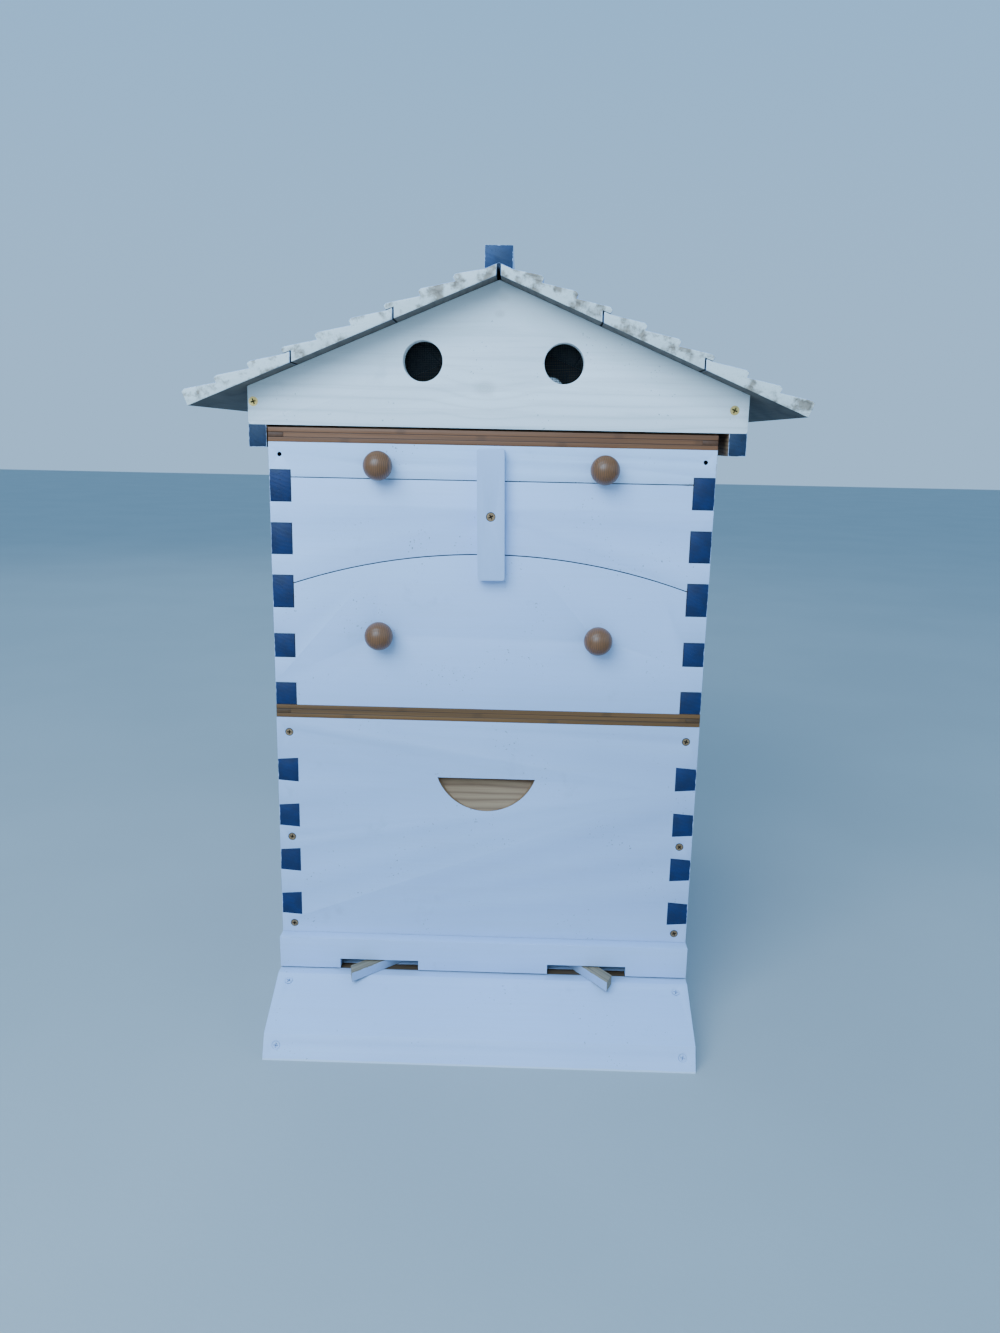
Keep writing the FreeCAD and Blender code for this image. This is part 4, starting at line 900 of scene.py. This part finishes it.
class HIVE_OT_floor(bpy.types.Operator):
    """Make the wire floor and finish the tray and its runners"""
    bl_idname = "hive.floor"
    bl_label = "Wire floor and tray"

    def execute(self, context):
        sizes = context.scene.hive_sizes
        wire = metal("galvanised wire", (0.55, 0.57, 0.59), 0.38)
        low, high = (Vector(corner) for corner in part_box("floor_mesh"))
        mesh = grown("floor_cloth", [(low + high) / 2], cloth_tree(), {
            "Width": high.x - low.x, "Depth": high.y - low.y, "Pitch": sizes.floor_pitch,
            "Wire Radius": sizes.floor_wire, "Material": wire})
        stand_in("floor_cloth", mesh, wire, "floor_mesh")
        pine_board("tray_runners", Y)
        board("floor_tray", fluted_sheet(), sizes.fine_arris)
        return {"FINISHED"}


class HIVE_OT_brood_box(bpy.types.Operator):
    """Finish the four boards of the brood box"""
    bl_idname = "hive.brood_box"
    bl_label = "Brood box"

    def execute(self, context):
        # the brood front takes the darker tone: painted shade for the low box
        tone = shaded(context.scene.hive_paint.white, BROOD_PAINTED_SHADE)
        painted_board("brood_front", X, (Y, -1), hand=True, tone=tone, seam="all")
        painted_board("brood_rear", X, (Y, 1), hand=True, seam="all")
        for side, sign in SIDES:
            node = f"brood_side_{side}"
            painted_board(node, Y, (X, sign), hand=True, blue="box")
        return {"FINISHED"}


class HIVE_OT_brood_frames(bpy.types.Operator):
    """Finish the wooden brood frames and their wax"""
    bl_idname = "hive.brood_frames"
    bl_label = "Brood frames"

    def execute(self, context):
        for place, along in (("top", Y), ("end", Z), ("bottom", Y)):
            pine_board(f"brood_{place}_bars", along)
        paint_node("brood_foundation", wax_comb())
        return {"FINISHED"}


class HIVE_OT_excluder(bpy.types.Operator):
    """Finish the queen excluder: bamboo frame and slotted sheet"""
    bl_idname = "hive.excluder"
    bl_label = "Queen excluder"

    def execute(self, context):
        strip_frame("excluder", context.scene.hive_timber.bamboo)
        paint_node("excluder_grid", metal("excluder steel", (0.58, 0.59, 0.60), 0.3))
        return {"FINISHED"}


class HIVE_OT_honey_super(bpy.types.Operator):
    """Finish the boards of the honey super"""
    bl_idname = "hive.honey_super"
    bl_label = "Honey super"

    def execute(self, context):
        for side, sign in SIDES:
            node = f"super_side_{side}"
            painted_board(node, Y, (X, sign), hand=True, blue="box")
        painted_board("super_rear", X, (Y, 1), hand=True, seam="all")
        tone = shaded(context.scene.hive_paint.white, 1.12)
        painted_board("super_middle_rail", X, (Y, -1), tone=tone, seam="all")
        return {"FINISHED"}


class HIVE_OT_covers(bpy.types.Operator):
    """Finish the key cover, the window cover and the turn button"""
    bl_idname = "hive.covers"
    bl_label = "Covers and turn button"

    def execute(self, context):
        white = context.scene.hive_paint.white
        painted_board("key_cover", X, (Y, -1), tone=shaded(white, 1.22), seam="all")
        painted_board("window_cover", X, (Y, -1), seam="all")
        arris = context.scene.hive_sizes.nose_arris
        painted_board("toggle", Z, (Y, -1), tone=shaded(white, 0.92), seam="hole", arris=arris)
        return {"FINISHED"}


class HIVE_OT_knobs(bpy.types.Operator):
    """Turn the four ball knobs"""
    bl_idname = "hive.knobs"
    bl_label = "Knobs"

    def execute(self, context):
        material = wood_knob()
        for node in ("upper_knobs", "lower_knobs"):
            mesh = bpy.data.meshes.new(node)
            pair = bmesh.new()
            for corners in islands(node):
                middle = middle_of(corners)
                place = Matrix.Translation((middle.x, FRONT_Y, middle.z))
                place = place @ Matrix.Rotation(math.pi / 2, 4, "X")
                one = turned(knob_profile(corners))
                one.transform(place)
                one.to_mesh(mesh)
                one.free()
                pair.from_mesh(mesh)
            pair.to_mesh(mesh)
            pair.free()
            smooth_mesh(mesh, 50)
            stand_in(f"{node}_turned", mesh, material, node)
        return {"FINISHED"}


def knob_profile(corners):
    """(radius, height) of a ball knob: height 0 on the board, the peg below, the crown on top."""
    middle = middle_of(corners)
    radius = max(corner.x for corner in corners) - middle.x
    crown = FRONT_Y - min(corner.y for corner in corners)
    peg = max(corner.y for corner in corners) - FRONT_Y
    centre = crown - radius
    seat = 5 * MM
    neck = 6 * MM
    groove = 0.25 * MM
    start = math.asin((seat - centre) / radius)
    profile = [(0, -peg), (3.2 * MM, -peg), (3.9 * MM, -peg + 0.8 * MM), (3.9 * MM, -0.2 * MM), (neck, 0),
               (neck + 0.6 * MM, 0.8 * MM), (neck, 2.0 * MM), (neck - 0.4 * MM, 3.6 * MM)]
    steps = 30
    for step in range(steps + 1):
        angle = start + (math.pi / 2 - start) * step / steps
        # a fine ring is turned into the ball a little way round from the crown
        inset = groove if step == steps - 9 else 0
        profile.append(((radius - inset) * math.cos(angle), centre + (radius - inset) * math.sin(angle)))
    profile[-1] = (0, profile[-1][1])
    return profile


class HIVE_OT_honey_frames(bpy.types.Operator):
    """Finish the honey frames"""
    bl_idname = "hive.honey_frames"
    bl_label = "Honey frames"

    def execute(self, context):
        material = honey_plastic()
        for node in sorted(frame["nodes"]):
            if node.startswith("honey_frame_"):
                paint_node(node, material)
        return {"FINISHED"}


class HIVE_OT_inner_cover(bpy.types.Operator):
    """Finish the inner cover: framed rails and a plywood panel"""
    bl_idname = "hive.inner_cover"
    bl_label = "Inner cover"

    def execute(self, context):
        strip_frame("inner_cover", context.scene.hive_timber.cover)
        paint_node("inner_cover_panel", plywood())
        return {"FINISHED"}


class HIVE_OT_gables(bpy.types.Operator):
    """Finish the gables, the side boards under the eaves and the cleats inside"""
    bl_idname = "hive.gables"
    bl_label = "Gables and roof sides"

    def execute(self, context):
        sizes = context.scene.hive_sizes
        for node, sign in (("gable_front", -1), ("gable_rear", 1)):
            board(node, gable_paint(node, sign), sizes.arris)
        for side, sign in SIDES:
            node = f"roof_side_{side}"
            painted_board(node, Y, (X, sign), blue="roof")
        pine_board("roof_cleats", X)
        return {"FINISHED"}


# knots of a gable: distance from its middle, height above its foot, radius
KNOTS = ((0.001, 0.098, 0.004), (0.004, 0.112, 0.005), (-0.012, 0.035, 0.009))


def gable_paint(node, sign):
    """Thin paint: grain shows in bands, a few knots, creamier towards the top under the boards."""
    paint, timber = coats()
    low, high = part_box(node)
    middle = (low[X] + high[X]) / 2
    finish = BoardFinish(node, X)
    # the gable colour: real cream paint, also set brighter than the boards' white as painted light on the high
    # gable
    base, roughness, height = finish.paint(paint.gable, thin=0.35)
    pull = None
    for across, level, size in KNOTS:
        side = finish.x - (middle + across)
        up = (finish.z - (low[Z] + level)) * 1.35
        reach = distance(side, up)
        knot = finish.fade(reach + (finish.noise(90) - 0.5) * (5 * MM), size * 1.5, size * 0.4)
        ring = finish.wave(reach * 420)
        base = finish.mix(knot * (0.16 + ring * 0.10), base, shaded(timber.pine, 0.72))
        bend = finish.fade(reach, size * 6, size) * (size * 1.4)
        pull = bend if pull is None else pull + bend
    stripe = finish.wave(finish.z * 95 + pull * 60 + (finish.noise(3.0, 16, detail=3) - 0.5) * 2.4)
    bands = calc("POWER", stripe, 4.0) * finish.fade(finish.z, low[Z] + 0.075, low[Z] + 0.02)
    base = finish.mix(bands * 0.30, base, shaded(paint.cream, 0.66))
    slope = (high[Z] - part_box("roof_side_left")[1][Z]) / ((high[X] - low[X]) / 2)
    below = high[Z] - abs(finish.x - middle) * slope - finish.z
    # towards the top, under the roof boards, the paint is mixed to a slightly darker cream
    creamier_top = finish.fade(below + (finish.noise(20, 60, detail=4) - 0.5) * 0.03, 0.05, 0.0)
    base = finish.mix(creamier_top * 0.55, base, shaded(paint.cream, 1.05))
    inside = finish.fade(finish.ny * -sign, 0.6, 0.8)
    coat = finish.blend(inside, (base, roughness, height + bands * 0.3),
                        finish.pine(timber.pine, timber.pine_dark))
    return finish.done(*coat, depth=0.35)


class HIVE_OT_roof_boards(bpy.types.Operator):
    """Finish the six stepped roof boards and the ridge cap"""
    bl_idname = "hive.roof_boards"
    bl_label = "Roof boards and ridge cap"

    def execute(self, context):
        sizes = context.scene.hive_sizes
        for side, _ in SIDES:
            for place in ("upper", "middle", "eave"):
                node = f"roof_board_{side}_{place}"
                board(node, roof_paint(node), sizes.nose_arris)
        board("ridge_cap", ridge_paint("ridge_cap"), sizes.arris)
        return {"FINISHED"}


def end_grain(finish, tone):
    """Raw end grain seen through thin paint: rings in swirls, pores and patches."""
    swirl = finish.wave((finish.z * 170 + finish.x * 35) + finish.noise(26, 30, detail=3, bend=1.4) * 5.0)
    patch = finish.fade(finish.noise(60, 70, detail=5, rough=0.6), 0.38, 0.54)
    pore = finish.fade(finish.noise(500, 800, detail=1), 0.62, 0.75)
    base = finish.mix(calc("POWER", swirl, 1.8) * 0.75, (0.40, 0.31, 0.24), (0.17, 0.12, 0.085))
    base = finish.mix(patch * 0.85, base, shaded(tone, 1.1))
    base = finish.mix(pore * 0.3, base, shaded(tone, 0.2))
    return base, 0.7 + patch * 0.1, swirl * 0.5 + patch * 0.5 - pore * 0.3


def roof_paint(node):
    """White on top, grey swirls on the ends, bare weather-worn wood below and in the seams, darkened as painted
    shade.
    """
    paint, timber = coats()
    finish = BoardFinish(node, Y)
    base, roughness, height = finish.paint(paint.white, thin=0.25)
    stain = finish.fade(finish.noise(5, 60, detail=5, rough=0.65), 0.56, 0.72)
    base = finish.mix(stain * 0.22, base, paint.dirt)
    coat = (base, roughness + stain * 0.1, height)
    ends = finish.fade(abs(finish.ny), 0.6, 0.8)
    coat = finish.blend(ends, coat, end_grain(finish, paint.cream))
    # faces against the next board take the near-black seam coat: painted shade in the slots
    coat = finish.blend(roof_seam(finish, node), coat, finish.gap())
    # undersides take bare weather-worn wood, darkened as painted shade under the boards
    below = finish.fade(finish.nz, -0.5, -0.8)
    raw_and_shade = finish.pine(timber.weathered_and_shade, shaded(timber.weathered_and_shade, 0.6))
    coat = finish.blend(below, coat, raw_and_shade)
    return finish.done(*coat, depth=0.4)


def roof_seam(finish, node):
    """1 on the faces of a roof board that lie against the next one."""
    low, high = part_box(node)
    inner, outer = (low[X], high[X]) if low[X] + high[X] > 0 else (high[X], low[X])
    near = abs(finish.x - inner)
    if "eave" not in node:
        near = least(near, abs(finish.x - outer))
    return (abs(finish.nx) > 0.75) * (abs(finish.ny) < 0.3) * finish.fade(near, 8 * MM, 7 * MM)


def ridge_paint(node):
    """White strip whose front end is dull blue with bare nicks along its rim."""
    paint = bpy.context.scene.hive_paint
    finish = BoardFinish(node, Y)
    coat = finish.paint(paint.white)
    ragged = finish.edge + (finish.noise(300, detail=4) - 0.5) * (3.0 * MM)
    ends = (abs(finish.ny) > 0.7) * finish.fade(ragged, -0.2 * MM, 0.3 * MM)
    coat = finish.blend(ends, coat, finish.blue(paint.old_blue))
    return finish.done(*coat)


class HIVE_OT_vent_cloth(bpy.types.Operator):
    """Make the black wire cloth behind the vents"""
    bl_idname = "hive.vent_cloth"
    bl_label = "Vent cloth"

    def execute(self, context):
        sizes = context.scene.hive_sizes
        finish = Finish("black wire")
        dust = finish.fade(finish.noise(160, detail=3), 0.5, 0.75)
        base = finish.mix(dust * 0.3, (0.004, 0.004, 0.004), (0.03, 0.028, 0.026))
        wire = finish.done(base, 0.45 + dust * 0.2, dust, depth=0.02)
        patches = islands("vent_meshes")
        size = max(corner.x for corner in patches[0]) - min(corner.x for corner in patches[0])
        mesh = grown("vent_cloth", [middle_of(patch) for patch in patches], cloth_tree(), {
            "Width": size, "Depth": size, "Pitch": sizes.vent_pitch, "Wire Radius": sizes.vent_wire,
            "Turn": (math.pi / 2, 0, 0), "Material": wire})
        stand_in("vent_cloth", mesh, wire, "vent_meshes")
        return {"FINISHED"}


class HIVE_OT_screws(bpy.types.Operator):
    """Make every cross-recessed screw at its place"""
    bl_idname = "hive.screws"
    bl_label = "Screws"

    def execute(self, context):
        tree = screw_tree()
        bronze = metal("coated screw", (0.44, 0.26, 0.14), 0.42, patch_tone=(0.20, 0.11, 0.06))
        brass = metal("yellow screw", (1.0, 0.66, 0.24), 0.3, patch_tone=(0.70, 0.40, 0.12))
        # node, metal, and the ring in millimetres between the head and the wall of its hole
        sets = (("brood_screws", bronze, 0.6), ("toggle_screw", bronze, 0.6), ("gable_screws", brass, 0.1),
                ("landing_board_screws", covered_screw(), 0.5))
        for seed, (node, material, ring) in enumerate(sets):
            heads, ways, radii, lengths = zip(*screw_places(node))
            mesh = grown(f"{node}_set", heads, tree, {
                "Head Radius": radii[0] - ring * MM, "Head Height": 2.6 * MM, "Shank Radius": 2 * MM,
                "Length": lengths[0], "Recess": context.scene.hive_sizes.recess, "Seed": seed,
                "Material": material}, ways)
            smooth_mesh(mesh)
            stand_in(f"{node}_set", mesh, material, node)
        return {"FINISHED"}


def covered_screw():
    """A screw that was painted over with the board: grey where the paint is thin."""
    paint = bpy.context.scene.hive_paint
    finish = Finish("painted screw")
    thin = finish.fade(finish.noise(420, detail=3), 0.5, 0.7)
    base = finish.mix(thin * 0.35, shaded(paint.white, 0.95), (0.42, 0.44, 0.47))
    return finish.done(base, 0.42 + thin * 0.15, thin, depth=0.1)


class HIVE_OT_stage(bpy.types.Operator):
    """Set the floor, the lights and the camera"""
    bl_idname = "hive.stage"
    bl_label = "Floor, lights and camera"

    def execute(self, context):
        stage = context.scene.hive_stage
        lay_floor(stage)
        light_room(stage)
        aim_camera(stage)
        return {"FINISHED"}


def lay_floor(stage):
    """A wide plain pale floor with a little unevenness."""
    reach = 14
    mesh = bpy.data.meshes.new("floor")
    corners = [(-reach, -reach, 0), (reach, -reach, 0), (reach, reach, 0), (-reach, reach, 0)]
    mesh.from_pydata(corners, [], [(0, 1, 2, 3)])
    finish = Finish("floor")
    cloud = finish.noise(2.5, detail=5)
    base = finish.mix(finish.fade(cloud, 0.3, 0.7), shaded(stage.floor, 0.94), tuple(stage.floor))
    material = finish.done(base, 0.75 + cloud * 0.1, finish.noise(180, detail=3), depth=0.3)
    add_object("floor", mesh, material)


def light_room(stage):
    world = bpy.data.worlds.new("soft light")
    bpy.context.scene.world = world
    world.use_nodes = True
    tree = Tree(world.node_tree)
    level = tree.split(tree.add("ShaderNodeTexCoord"))[Z]
    background = world.node_tree.nodes["Background"]
    plug(background.inputs["Color"], tree.mix(tree.fade(level, 0, 0.8), stage.haze, stage.sky))
    plug(background.inputs["Strength"], stage.sky_strength)
    lamps = (("key", stage.key_power, (-0.8, -1.9, 1.75), 1.6, (0.48, 0.73, 1.0)),
             ("fill", stage.fill_power, (2.6, -1.6, 1.6), 2.2, (0.48, 0.74, 1.0)),
             ("rear", stage.fill_power * 1.6, (-1.2, 2.8, 2.6), 2.2, (0.48, 0.74, 1.0)))
    target = Vector((0, 0, 0.35))
    for name, power, place, size, tone in lamps:
        lamp = bpy.data.lights.new(name, "AREA")
        lamp.energy = power
        lamp.size = size
        lamp.color = tone
        holder = bpy.data.objects.new(name, lamp)
        holder.location = place
        holder.rotation_euler = (target - Vector(place)).to_track_quat("-Z", "Y").to_euler()
        bpy.context.scene.collection.objects.link(holder)


def aim_camera(stage):
    """Stand the camera in front of the hive, tilted down a little."""
    yaw, tilt, roll = stage.camera_yaw, stage.camera_tilt, stage.camera_roll
    ahead = Vector((math.sin(yaw) * math.cos(tilt), math.cos(yaw) * math.cos(tilt), -math.sin(tilt)))
    right = Vector((math.cos(yaw), -math.sin(yaw), 0))
    up = right.cross(ahead)
    across = right * math.cos(roll) + up * math.sin(roll)
    upward = up * math.cos(roll) - right * math.sin(roll)
    lens = bpy.data.cameras.new("camera")
    lens.lens = stage.camera_lens
    lens.sensor_width = 36
    camera = bpy.data.objects.new("camera", lens)
    axes = Matrix((across, upward, -ahead)).transposed()
    camera.matrix_world = Matrix.Translation(stage.camera_place) @ axes.to_4x4()
    bpy.context.scene.collection.objects.link(camera)
    bpy.context.scene.camera = camera


# ------------------------------------------------------------------ panel and registration

OPERATORS = (HIVE_OT_base, HIVE_OT_gates, HIVE_OT_floor, HIVE_OT_brood_box, HIVE_OT_brood_frames,
             HIVE_OT_excluder, HIVE_OT_honey_super, HIVE_OT_covers, HIVE_OT_knobs, HIVE_OT_honey_frames,
             HIVE_OT_inner_cover, HIVE_OT_gables, HIVE_OT_roof_boards, HIVE_OT_vent_cloth, HIVE_OT_screws,
             HIVE_OT_stage)
GROUPS = {"hive_paint": HivePaint, "hive_timber": HiveTimber, "hive_sizes": HiveSizes,
          "hive_stage": HiveStage}


class HIVE_PT_panel(bpy.types.Panel):
    """Sizes, colours and steps of the hive"""
    bl_idname = "HIVE_PT_panel"
    bl_label = "Beehive"
    bl_space_type = "VIEW_3D"
    bl_region_type = "UI"
    bl_category = "Beehive"

    def draw(self, context):
        for name in GROUPS:
            group = getattr(context.scene, name)
            column = self.layout.box().column()
            for prop in group.bl_rna.properties:
                if prop.identifier not in ("rna_type", "name"):
                    column.prop(group, prop.identifier)
        for operator in OPERATORS:
            self.layout.operator(operator.bl_idname)


def register():
    for group in (*GROUPS.values(), *OPERATORS, HIVE_PT_panel):
        bpy.utils.register_class(group)
    for name, group in GROUPS.items():
        setattr(bpy.types.Scene, name, PointerProperty(type=group))


def unregister():
    for name in GROUPS:
        delattr(bpy.types.Scene, name)
    for group in (HIVE_PT_panel, *reversed(OPERATORS), *GROUPS.values()):
        bpy.utils.unregister_class(group)


def main():
    register()
    for operator in OPERATORS:
        space, name = operator.bl_idname.split(".")
        getattr(getattr(bpy.ops, space), name)()


if __name__ == "__main__":
    main()
